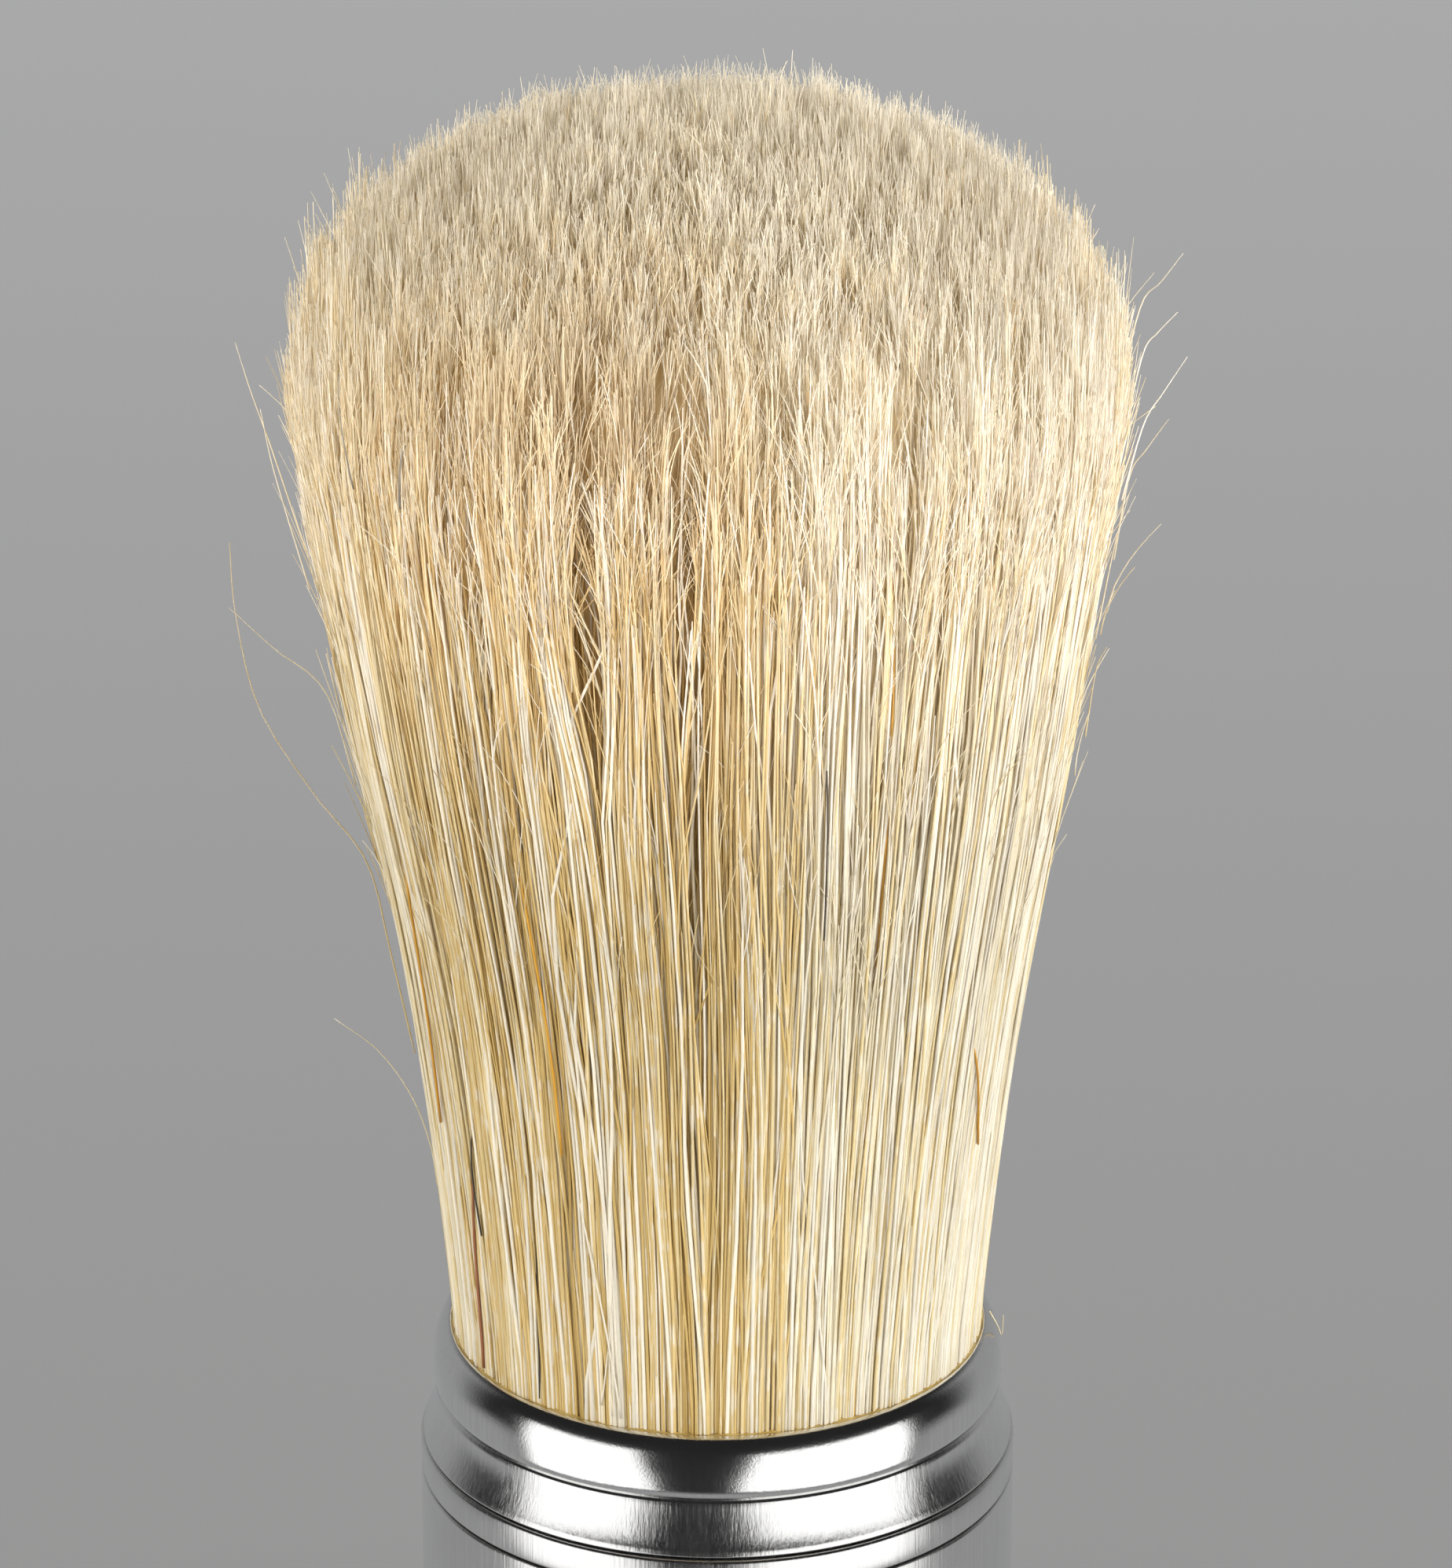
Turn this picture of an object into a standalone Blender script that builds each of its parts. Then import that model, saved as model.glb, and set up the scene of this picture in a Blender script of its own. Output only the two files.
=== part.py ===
"""Shaving brush with a screw-in knot holder and a turned metal handle.

Units are metres, +Z is up and the brush stands on its foot pad at z = 0, on the Z axis.
Dimensions below are in millimetres and are converted once, by MM.
"""

import math

import bmesh
import bpy

MM = 0.001

# ---------------------------------------------------------------- driving dimensions (mm)
GAP = 0.30            # running and assembly gap between neighbouring pieces
SEG_OUT = 36          # facets round the outer pieces
SEG_IN = 20           # facets round the inner pieces

# heights up the axis
RIM_Z = 50.0          # top of the ferrule's lip
SEAM_Z = 44.15        # seam between the ferrule and the handle
RING_Z0 = 42.55       # underside of the trim ring
BASE_TOP_Z = 4.40     # lower end of the handle's shell
CAP_Z0 = 0.55         # underside of the base cap

# ferrule (knot holder)
BORE_R = 13.0         # mouth that the bristles leave
LIP_R = 13.95         # outside of the rounded lip
LIP_H = 1.70          # height of the rounded part of the lip
CREASE_H = 3.12       # depth of the crease under the lip's plain band
FLARE_R = 14.48       # widest radius of the concave flare, at the seam
SPIGOT_R = 12.70      # spigot that enters the handle
SPIGOT_BORE_R = 11.90
SPIGOT_Z0 = 31.0
WEB_T = 2.0           # floor of the ferrule, which the stud goes through

# handle
HANDLE_R = 14.60
WAIST_R = 12.35
WAIST_Z = 20.5
FOOT_R = 16.2
NECK_R = 13.75        # neck that the trim ring sits on
COUNTERBORE_R = 13.0
COUNTERBORE_Z0 = 29.3
WEB_Z0 = 13.0
INSERT_R = 6.5
CAVITY_R = 11.6
MOUTH_R = 13.6

# thread that joins the two halves, drawn smooth at its outer radius: eight turns of a 1.25 mm pitch free it
STUD_R = 4.0
THREAD_PITCH = 1.25
TURNS_TO_FREE = 8
STUD_Z0 = COUNTERBORE_Z0 - 0.3 - THREAD_PITCH * TURNS_TO_FREE
STUD_Z1 = 38.2

# bristle knot: radius at each height above the rim, then a rounded dome
KNOT = [(0.35, 12.88), (4, 13.20), (8, 13.64), (12, 14.15), (16, 14.72), (20, 15.36), (24, 16.09),
        (28, 16.88), (32, 17.63), (36, 18.29), (40, 18.92), (44, 19.48), (48, 19.90)]
DOME_H = 13.8
DOME_POWER = 2.34
FLEX_Z = 55.5         # pivot of the bending bristles
FLEX_SPHERE_R = 30.0  # the interface between the fixed and the bending length


# ---------------------------------------------------------------- helpers
for old in list(bpy.data.objects):
    bpy.data.objects.remove(old, do_unlink=True)

parts = bpy.data.collections.new("shaving_brush")
bpy.context.scene.collection.children.link(parts)
cutters = bpy.data.collections.new("cutters")
bpy.context.scene.collection.children.link(cutters)


def material(name, colour, roughness, metallic=0.0):
    m = bpy.data.materials.new(name)
    m.use_nodes = True
    b = m.node_tree.nodes["Principled BSDF"]
    b.inputs["Base Color"].default_value = (*colour, 1.0)
    b.inputs["Roughness"].default_value = roughness
    b.inputs["Metallic"].default_value = metallic
    m.diffuse_color = (*colour, 1.0)
    return m


def finish(obj, mat, parent=None):
    """Puts a piece in the parts collection, smooth shaded with sharp creases, in its material."""
    obj.data.materials.append(mat)
    for f in obj.data.polygons:
        f.use_smooth = True
    obj.data.set_sharp_from_angle(angle=math.radians(35))
    if parent is not None:
        obj.parent = parent
        obj.matrix_parent_inverse = parent.matrix_world.inverted()
    return obj


def turned(name, profile, seg, mat, closed=True, origin_z=0.0, parent=None):
    """A turned piece: the profile, (radius, height) in mm, runs down its outer side and is spun round Z.
    A closed profile makes a ring; an open one starts and ends on the axis and makes a solid."""
    mesh = bpy.data.meshes.new(name)
    bm = bmesh.new()
    vs = [bm.verts.new((r * MM, 0.0, (z - origin_z) * MM)) for r, z in profile]
    for a, b in zip(vs, vs[1:]):
        bm.edges.new((a, b))
    if closed:
        bm.edges.new((vs[-1], vs[0]))
    bm.to_mesh(mesh)
    bm.free()
    obj = bpy.data.objects.new(name, mesh)
    parts.objects.link(obj)
    obj.location = (0.0, 0.0, origin_z * MM)
    s = obj.modifiers.new("turn", "SCREW")
    s.axis = "Z"
    s.angle = 2 * math.pi
    s.steps = seg
    s.render_steps = seg
    s.use_merge_vertices = True
    s.merge_threshold = 0.00002
    s.use_smooth_shade = True
    bpy.context.view_layer.update()
    return finish(obj, mat, parent)


def cylinder_cutter(name, radius, z0, z1, sides=24):
    bpy.ops.mesh.primitive_cylinder_add(vertices=sides, radius=radius * MM, depth=(z1 - z0) * MM,
                                        location=(0, 0, (z0 + z1) / 2 * MM))
    c = bpy.context.active_object
    c.name = name
    for col in list(c.users_collection):
        col.objects.unlink(c)
    cutters.objects.link(c)
    c.hide_render = True
    c.display_type = "WIRE"
    return c


def cut(obj, cutter):
    b = obj.modifiers.new("cut_" + cutter.name, "BOOLEAN")
    b.operation = "DIFFERENCE"
    b.solver = "EXACT"
    b.object = cutter
    return obj


def arc(cx, cz, rx, rz, a0, a1, n):
    """n + 1 points of an elliptical arc, angles in degrees from +X, counter-clockwise."""
    return [(cx + rx * math.cos(math.radians(a0 + (a1 - a0) * i / n)),
             cz + rz * math.sin(math.radians(a0 + (a1 - a0) * i / n))) for i in range(n + 1)]


def smooth_between(points, z):
    """Radius at height z of a smooth curve through (height, radius) points (cubic Hermite, finite-difference slopes)."""
    pts = sorted(points)
    if z <= pts[0][0]:
        return pts[0][1]
    if z >= pts[-1][0]:
        return pts[-1][1]
    slopes = []
    for i in range(len(pts)):
        a, b = pts[max(i - 1, 0)], pts[min(i + 1, len(pts) - 1)]
        slopes.append((b[1] - a[1]) / (b[0] - a[0]))
    for i in range(len(pts) - 1):
        (z0, r0), (z1, r1) = pts[i], pts[i + 1]
        if z0 <= z <= z1:
            d = z1 - z0
            t = (z - z0) / d
            h00, h10 = 2 * t**3 - 3 * t**2 + 1, t**3 - 2 * t**2 + t
            h01, h11 = -2 * t**3 + 3 * t**2, t**3 - t**2
            return h00 * r0 + h10 * d * slopes[i] + h01 * r1 + h11 * d * slopes[i + 1]
    return pts[-1][1]


def knot_radius(z):
    """Radius of the bristle knot at height z (mm)."""
    h = z - RIM_Z
    if h <= 48.0:
        return smooth_between(KNOT, h)
    t = min(1.0, (h - 48.0) / DOME_H)
    return KNOT[-1][1] * (1 - t**DOME_POWER) ** (1 / DOME_POWER)


# ---------------------------------------------------------------- materials
polished = material("polished_aluminium", (0.80, 0.80, 0.79), 0.16, 1.0)
brushed = material("brushed_aluminium", (0.74, 0.74, 0.73), 0.28, 1.0)
steel = material("steel", (0.55, 0.56, 0.58), 0.30, 1.0)
brass = material("brass", (0.75, 0.58, 0.28), 0.30, 1.0)
black_rubber = material("black_rubber", (0.03, 0.03, 0.03), 0.80)
white_nylon = material("white_nylon", (0.85, 0.84, 0.80), 0.50)
resin = material("amber_resin", (0.62, 0.43, 0.14), 0.15)
thread = material("binding_thread", (0.80, 0.74, 0.60), 0.85)
straw = material("bristle_shafts", (0.80, 0.70, 0.47), 0.45)
cream = material("bristle_tips", (0.90, 0.85, 0.74), 0.70)

# ---------------------------------------------------------------- joint frames
lift_frame = bpy.data.objects.new("knot_lift_axis", None)
lift_frame.location = (0, 0, COUNTERBORE_Z0 * MM)
parts.objects.link(lift_frame)
unscrew_frame = bpy.data.objects.new("knot_unscrew_axis", None)
unscrew_frame.location = (0, 0, SEAM_Z * MM)
parts.objects.link(unscrew_frame)
flex_frame = bpy.data.objects.new("bristle_flex_axis", None)
flex_frame.location = (0, 0, FLEX_Z * MM)
parts.objects.link(flex_frame)
bpy.context.view_layer.update()
unscrew_frame.parent = lift_frame
unscrew_frame.matrix_parent_inverse = lift_frame.matrix_world.inverted()
flex_frame.parent = unscrew_frame
flex_frame.matrix_parent_inverse = unscrew_frame.matrix_world.inverted()
bpy.context.view_layer.update()


# ---------------------------------------------------------------- knot holder
def ferrule_profile():
    lip = arc(13.25, RIM_Z - LIP_H, LIP_R - 13.25, LIP_H, 90, 0, 5)
    p = list(lip)
    p.append((LIP_R, RIM_Z - CREASE_H))
    p.append((LIP_R - 0.07, RIM_Z - CREASE_H - 0.08))
    z_top, z_bot = RIM_Z - CREASE_H - 0.08, SEAM_Z + 0.22
    for i in range(1, 6):                      # concave flare
        t = i / 5
        p.append((LIP_R - 0.07 + (FLARE_R - LIP_R + 0.07) * t**1.9, z_top + (z_bot - z_top) * t))
    p += [(FLARE_R - 0.10, SEAM_Z), (SPIGOT_R, SEAM_Z), (SPIGOT_R, SPIGOT_Z0 + 0.5),
          (SPIGOT_R - 0.5, SPIGOT_Z0), (STUD_R + GAP, SPIGOT_Z0), (STUD_R + GAP, SPIGOT_Z0 + WEB_T),
          (SPIGOT_BORE_R, SPIGOT_Z0 + WEB_T), (SPIGOT_BORE_R, 45.0), (BORE_R, 45.7),
          (BORE_R, RIM_Z - 0.45)]
    return p


ferrule = turned("ferrule", ferrule_profile(), SEG_OUT, polished, origin_z=SEAM_Z, parent=unscrew_frame)

stud = turned("knot_stud", [(0, STUD_Z1), (STUD_R - 0.5, STUD_Z1), (STUD_R, STUD_Z1 - 0.5),
                            (STUD_R, STUD_Z0 + 0.7), (STUD_R - 0.7, STUD_Z0), (0, STUD_Z0)],
              SEG_IN, steel, closed=False, origin_z=SEAM_Z, parent=unscrew_frame)

WASHER_Z0 = SPIGOT_Z0 + WEB_T + GAP
washer = turned("stud_washer", [(8.0, WASHER_Z0 + 0.8), (8.0, WASHER_Z0), (STUD_R + GAP, WASHER_Z0),
                                (STUD_R + GAP, WASHER_Z0 + 0.8)],
                SEG_IN, steel, origin_z=SEAM_Z, parent=unscrew_frame)

# jam nut: a hexagonal prism, chamfered, with its bore cut
NUT_Z0 = WASHER_Z0 + 0.8 + GAP
NUT_H = 3.0
NUT_AF = 13.0
bpy.ops.mesh.primitive_cylinder_add(vertices=6, radius=NUT_AF / math.sqrt(3) * MM, depth=NUT_H * MM,
                                    location=(0, 0, (NUT_Z0 + NUT_H / 2) * MM))
nut = bpy.context.active_object
nut.name = "stud_nut"
nut.data.name = "stud_nut"
for col in list(nut.users_collection):
    col.objects.unlink(nut)
parts.objects.link(nut)
chamfer = nut.modifiers.new("chamfer", "BEVEL")
chamfer.width = 0.35 * MM
chamfer.segments = 1
chamfer.limit_method = "ANGLE"
chamfer.angle_limit = math.radians(80)
cut(nut, cylinder_cutter("nut_bore", STUD_R + GAP, NUT_Z0 - 2, NUT_Z0 + NUT_H + 2, SEG_IN))
bpy.context.view_layer.update()
finish(nut, steel, unscrew_frame)

CUP_Z0 = STUD_Z1 + GAP
CUP_Z1 = 46.0
cup = turned("knot_cup", [(11.6, CUP_Z1), (11.6, CUP_Z0 + 0.6), (11.0, CUP_Z0), (0, CUP_Z0)][:3]
             + [(1.5, CUP_Z0), (1.5, CUP_Z0 + 1.2), (10.8, CUP_Z0 + 1.2), (10.8, CUP_Z1)],
             SEG_IN, white_nylon, origin_z=SEAM_Z, parent=unscrew_frame)

BED_Z0 = CUP_Z0 + 1.2 + GAP
BED_Z1 = BED_Z0 + 1.5
bed = turned("resin_bed", [(0, BED_Z1), (9.5, BED_Z1), (10.5, BED_Z1 - 0.4), (10.5, BED_Z0), (0, BED_Z0)],
             SEG_IN, resin, closed=False, origin_z=SEAM_Z, parent=unscrew_frame)

# binding wound round the roots: four turns of thread side by side
BIND_Z0 = BED_Z1 + 1.1
wound = []
for i in range(4):
    top = BIND_Z0 + 2.4 - i * 0.6
    wound += [(10.10, top), (10.45, top - 0.15), (10.45, top - 0.45)]
wound += [(10.10, BIND_Z0), (9.75, BIND_Z0), (9.75, BIND_Z0 + 2.4)]
binding = turned("root_binding", wound, SEG_IN, thread, origin_z=SEAM_Z, parent=unscrew_frame)

# resin line round the mouth
mouth_resin = turned("resin_ring", [(12.45, 49.1), (12.70, 48.85), (12.70, 46.9), (12.40, 46.6), (12.35, 46.9), (12.35, 49.0)],
                     SEG_OUT, resin, origin_z=SEAM_Z, parent=unscrew_frame)


# fixed length of the bristles: bound roots, then the shafts, with a spherical end that the bending length rolls over
def sphere_cap(radius, n, edge_r):
    """Points of a spherical cap about the flex pivot, from the axis to edge_r."""
    a_max = math.asin(edge_r / radius)
    return [(radius * math.sin(a_max * i / n), FLEX_Z + radius * math.cos(a_max * i / n)) for i in range(n + 1)]


def edge_on_knot(radius):
    """Height at which a sphere of this radius about the flex pivot leaves the knot."""
    lo, hi = FLEX_Z, FLEX_Z + radius
    for _ in range(60):
        z = (lo + hi) / 2
        if math.hypot(knot_radius(z), z - FLEX_Z) < radius:
            lo = z
        else:
            hi = z
    return (lo + hi) / 2


edge_z = edge_on_knot(FLEX_SPHERE_R)
roots_profile = sphere_cap(FLEX_SPHERE_R, 7, knot_radius(edge_z))
roots_profile += [(knot_radius(RIM_Z + h), RIM_Z + h) for h in (26, 21, 16, 11, 6, 2.5, 0.35)]
roots_profile += [(12.05, RIM_Z - 0.5), (12.05, 46.5), (10.45, 46.2), (10.45, BIND_Z0 + 3.0), (9.45, BIND_Z0 + 2.7),
                  (9.45, BIND_Z0 - 0.2), (9.8, BIND_Z0 - 0.5), (9.8, BED_Z1 + GAP), (0, BED_Z1 + GAP)]
roots = turned("bristle_roots", roots_profile, SEG_OUT, straw, closed=False, origin_z=SEAM_Z, parent=unscrew_frame)

# bending length of the bristles: the bulb of split tips
edge_z2 = edge_on_knot(FLEX_SPHERE_R + GAP)
bulb_profile = []
N_DOME = 9
for i in range(N_DOME + 1):
    a = math.radians(90 * (1 - i / N_DOME))
    bulb_profile.append((KNOT[-1][1] * math.cos(a) ** (2 / DOME_POWER) if i else 0.0,
                         RIM_Z + 48.0 + DOME_H * math.sin(a) ** (2 / DOME_POWER) if i < N_DOME else RIM_Z + 48.0))
bulb_profile += [(knot_radius(RIM_Z + h), RIM_Z + h) for h in (43, 38, 33.5)]
bulb_profile += list(reversed(sphere_cap(FLEX_SPHERE_R + GAP, 7, knot_radius(edge_z2))))
bulb = turned("bristle_bulb", bulb_profile, SEG_OUT, cream, closed=False, origin_z=FLEX_Z, parent=flex_frame)

# ---------------------------------------------------------------- seal under the ferrule
SEAL_Z0 = COUNTERBORE_Z0 + GAP
SEAL_Z1 = SPIGOT_Z0 - GAP
seal = turned("seal_washer", [(9.0, SEAL_Z1 - 0.3), (9.0, SEAL_Z0 + 0.3), (8.7, SEAL_Z0), (STUD_R + 0.6, SEAL_Z0),
                              (STUD_R + 0.6, SEAL_Z1), (8.7, SEAL_Z1)],
              SEG_IN, black_rubber, origin_z=COUNTERBORE_Z0, parent=lift_frame)

# ---------------------------------------------------------------- handle
RING_Z1 = SEAM_Z - GAP + 0.05
ring_r = HANDLE_R
ring = turned("trim_ring", [(NECK_R + GAP, RING_Z1), (ring_r - 0.25, RING_Z1), (ring_r - 0.02, RING_Z1 - 0.35),
                            (ring_r + 0.02, (RING_Z1 + RING_Z0) / 2), (ring_r - 0.02, RING_Z0 + 0.3),
                            (ring_r - 0.22, RING_Z0), (NECK_R + GAP, RING_Z0)],
              SEG_OUT, polished)


def handle_radius(z):
    """Outer radius of the handle at height z: a plain barrel, a waist for the fingers and a wider foot."""
    return smooth_between([(4.4, FOOT_R), (6.0, FOOT_R - 0.02), (9.5, 15.15), (14.5, 13.25), (WAIST_Z, WAIST_R),
                           (26.5, 12.95), (32.0, 14.15), (35.8, HANDLE_R), (39.0, HANDLE_R), (42.25, HANDLE_R)], z)


handle_profile = [(NECK_R, RING_Z1), (NECK_R, RING_Z0 - GAP), (HANDLE_R - 0.2, RING_Z0 - GAP), (HANDLE_R, RING_Z0 - GAP - 0.2)]
handle_profile += [(handle_radius(z), z) for z in (35.8, 33.0, 30.0, 26.5, 23.0, 19.5, 16.0, 12.5, 9.5, 7.0, 5.4)]
handle_profile += [(FOOT_R - 0.05, 4.6), (FOOT_R - 0.3, BASE_TOP_Z), (MOUTH_R, BASE_TOP_Z), (MOUTH_R, 7.4), (CAVITY_R, 7.9),
                   (CAVITY_R, WEB_Z0 - 0.0), (INSERT_R + GAP, WEB_Z0), (INSERT_R + GAP, COUNTERBORE_Z0),
                   (COUNTERBORE_R, COUNTERBORE_Z0), (COUNTERBORE_R, RING_Z1)]
handle = turned("handle_body", handle_profile, SEG_OUT, brushed)

insert_profile = [(INSERT_R, COUNTERBORE_Z0 - 0.3), (INSERT_R, 24.4), (INSERT_R - 0.5, 24.0), (INSERT_R - 0.5, 22.4), (INSERT_R, 22.0),
                  (INSERT_R, WEB_Z0 + 0.6), (INSERT_R - 0.6, WEB_Z0), (2.35, WEB_Z0), (2.35, STUD_Z0 - 0.6), (STUD_R + GAP, STUD_Z0 - 0.3),
                  (STUD_R + GAP, COUNTERBORE_Z0 - 0.3)]
insert = turned("thread_insert", insert_profile, SEG_IN, brass)

weight = turned("handle_weight", [(11.3, 12.2), (11.3, 8.6), (10.9, 8.2), (2.35, 8.2), (2.35, 12.7), (10.8, 12.7)],
                SEG_IN, steel)

spring_washer = turned("weight_washer", [(7.0, 7.9), (7.0, 6.9), (2.35, 6.9), (2.35, 7.9)], SEG_IN, steel)

cap_profile = [(13.2, 6.6), (13.3, 6.5), (13.3, 3.5), (FOOT_R - 0.25, 3.5), (FOOT_R, 3.25), (FOOT_R, 1.8), (FOOT_R - 0.35, 0.95), (FOOT_R - 1.0, CAP_Z0),
               (14.8, CAP_Z0), (14.8, 1.35), (3.9, 1.35), (3.9, 2.2), (2.35, 3.75), (2.35, 6.6)]
cap = turned("base_cap", cap_profile, SEG_OUT, brushed)

gasket = turned("base_gasket", [(15.7, 4.1), (15.7, 3.8), (13.65, 3.8), (13.65, 4.1)], SEG_OUT, black_rubber)

# screw that draws the base cap and the weight up against the insert: flat head, hexagon socket
base_screw = turned("base_screw", [(0, 17.9), (1.7, 17.9), (2.05, 17.5), (2.05, 3.95), (3.55, 2.45), (3.55, 1.75), (0, 1.75)],
                    SEG_IN, steel, closed=False)
cut(base_screw, cylinder_cutter("hex_socket", 1.45, 0.5, 3.4, 6))

pad = turned("foot_pad", [(0, 1.05), (14.5, 1.05), (14.5, 0.25), (14.25, 0.0), (0, 0)], SEG_OUT, black_rubber, closed=False)
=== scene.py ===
"""Looks of the shaving brush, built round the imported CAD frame. Lengths below are in millimetres unless said otherwise."""

import math

import bpy
import numpy as np
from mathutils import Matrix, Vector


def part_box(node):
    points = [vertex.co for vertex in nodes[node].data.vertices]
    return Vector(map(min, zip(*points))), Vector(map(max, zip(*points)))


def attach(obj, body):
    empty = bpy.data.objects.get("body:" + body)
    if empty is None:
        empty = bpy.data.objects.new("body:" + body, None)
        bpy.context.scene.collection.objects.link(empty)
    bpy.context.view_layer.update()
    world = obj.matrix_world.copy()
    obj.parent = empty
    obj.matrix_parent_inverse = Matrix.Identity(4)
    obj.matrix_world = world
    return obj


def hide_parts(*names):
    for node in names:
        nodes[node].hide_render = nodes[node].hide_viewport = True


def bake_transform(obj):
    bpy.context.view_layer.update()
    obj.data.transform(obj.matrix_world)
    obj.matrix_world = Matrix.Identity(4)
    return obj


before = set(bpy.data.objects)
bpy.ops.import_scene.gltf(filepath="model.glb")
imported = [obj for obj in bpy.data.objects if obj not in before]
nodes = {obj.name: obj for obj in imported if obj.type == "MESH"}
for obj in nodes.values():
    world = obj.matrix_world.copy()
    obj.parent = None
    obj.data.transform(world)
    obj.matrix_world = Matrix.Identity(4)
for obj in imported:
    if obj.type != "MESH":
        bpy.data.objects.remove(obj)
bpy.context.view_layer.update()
MM = 0.001
rng = np.random.default_rng(20417)

# ---------------------------------------------------------------- where the CAD says things are
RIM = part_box("ferrule")[1].z / MM            # top of the lip
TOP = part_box("bristle_bulb")[1].z / MM       # crown of the bristles
SEAM = 44.15
DOME_N = 2.34
KNOT_H = np.array([-6.0, 0.35, 4, 8, 12, 16, 20, 24, 28, 32, 36, 40, 44, 48])
KNOT_R = np.array([12.60, 12.88, 13.20, 13.64, 14.15, 14.72, 15.36, 16.09, 16.88, 17.63, 18.29, 18.92, 19.48, 19.90])
R_TOP = 19.90
DOME_H = TOP - RIM - 48.0

_hh = np.linspace(-6, 48, 1081)
_dd = np.gradient(KNOT_R, KNOT_H)
_ii = np.clip(np.searchsorted(KNOT_H, _hh, side="right") - 1, 0, len(KNOT_H) - 2)
_w = KNOT_H[_ii + 1] - KNOT_H[_ii]
_t = (_hh - KNOT_H[_ii]) / _w
_rr = ((2 * _t**3 - 3 * _t**2 + 1) * KNOT_R[_ii] + (_t**3 - 2 * _t**2 + _t) * _w * _dd[_ii]
       + (-2 * _t**3 + 3 * _t**2) * KNOT_R[_ii + 1] + (_t**3 - _t**2) * _w * _dd[_ii + 1])


def knot_r(h):
    """Outer radius of the knot at height h above the rim (constant above the bulb's widest point)."""
    return np.interp(np.clip(h, -6, 48), _hh, _rr)


def crown_h(q):
    """Height above the rim of the crown over the radial share q."""
    return 48.0 + DOME_H * (1 - np.clip(q, 0, 1) ** DOME_N) ** (1 / DOME_N)


def smooth(x, a, b):
    t = np.clip((x - a) / (b - a), 0, 1)
    return t * t * (3 - 2 * t)


# ---------------------------------------------------------------- mesh helpers
def raw_mesh(name, verts, loops, starts, uv=None):
    """A mesh from numpy arrays: vertices in mm, loop vertex indices, polygon loop starts, one UV per vertex."""
    me = bpy.data.meshes.new(name)
    me.vertices.add(len(verts))
    me.vertices.foreach_set("co", (verts * MM).astype(np.float32).ravel())
    me.loops.add(len(loops))
    me.loops.foreach_set("vertex_index", loops.astype(np.int32))
    me.polygons.add(len(starts))
    me.polygons.foreach_set("loop_start", starts.astype(np.int32))
    me.polygons.foreach_set("use_smooth", np.ones(len(starts), bool))
    me.update(calc_edges=True)
    if uv is not None:
        layer = me.uv_layers.new(name="OFBake")
        layer.data.foreach_set("uv", uv[loops].astype(np.float32).ravel())
    me.validate()
    ob = bpy.data.objects.new(name, me)
    bpy.context.scene.collection.objects.link(ob)
    return ob


def tubes(P, R, lane, V, spin, sides=3, lane_w=0.0012):
    """Tapered tubes with closed ends. P (n, k, 3) centrelines, R (n, k) radii, lane (n,) colour lane, V (n, k) height share."""
    n, k, _ = P.shape
    T = np.gradient(P, axis=1)
    T /= np.linalg.norm(T, axis=2, keepdims=True) + 1e-9
    ref = np.stack([np.cos(spin), np.sin(spin), np.zeros(n)], 1)[:, None, :]
    N1 = ref - (ref * T).sum(2, keepdims=True) * T
    N1 /= np.linalg.norm(N1, axis=2, keepdims=True) + 1e-9
    N2 = np.cross(T, N1)
    a = 2 * np.pi * np.arange(sides) / sides
    ring = (P[:, :, None, :] + R[:, :, None, None] * (np.cos(a)[None, None, :, None] * N1[:, :, None, :]
                                                     + np.sin(a)[None, None, :, None] * N2[:, :, None, :]))
    verts = ring.reshape(-1, 3)
    u = lane[:, None, None] + lane_w * np.linspace(-1, 1, sides)[None, None, :] + np.zeros((n, k, sides))
    v = V[:, :, None] + np.zeros((n, k, sides))
    uv = np.stack([u, v], 3).reshape(-1, 2)
    base = (np.arange(n) * k * sides)[:, None, None]
    i = np.arange(k - 1)[None, :, None]
    j = np.arange(sides)[None, None, :]
    j2 = (j + 1) % sides
    quads = np.stack([base + i * sides + j, base + i * sides + j2, base + (i + 1) * sides + j2, base + (i + 1) * sides + j], 3)
    quads = quads.reshape(-1, 4)
    b = (np.arange(n) * k * sides)[:, None]
    bottom = b + np.arange(sides)[::-1][None, :]
    top = b + (k - 1) * sides + np.arange(sides)[None, :]
    caps = np.concatenate([bottom, top])
    return verts, quads, caps, uv


def tube_object(name, parts):
    """One object from several tubes() results."""
    vs, loops, starts, uvs, off, lo = [], [], [], [], 0, 0
    for verts, quads, caps, uv in parts:
        vs.append(verts)
        uvs.append(uv)
        for f in (quads, caps):
            loops.append((f + off).ravel())
            starts.append(lo + np.arange(len(f)) * f.shape[1])
            lo += f.size
        off += len(verts)
    return raw_mesh(name, np.concatenate(vs), np.concatenate(loops), np.concatenate(starts), np.concatenate(uvs))


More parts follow.
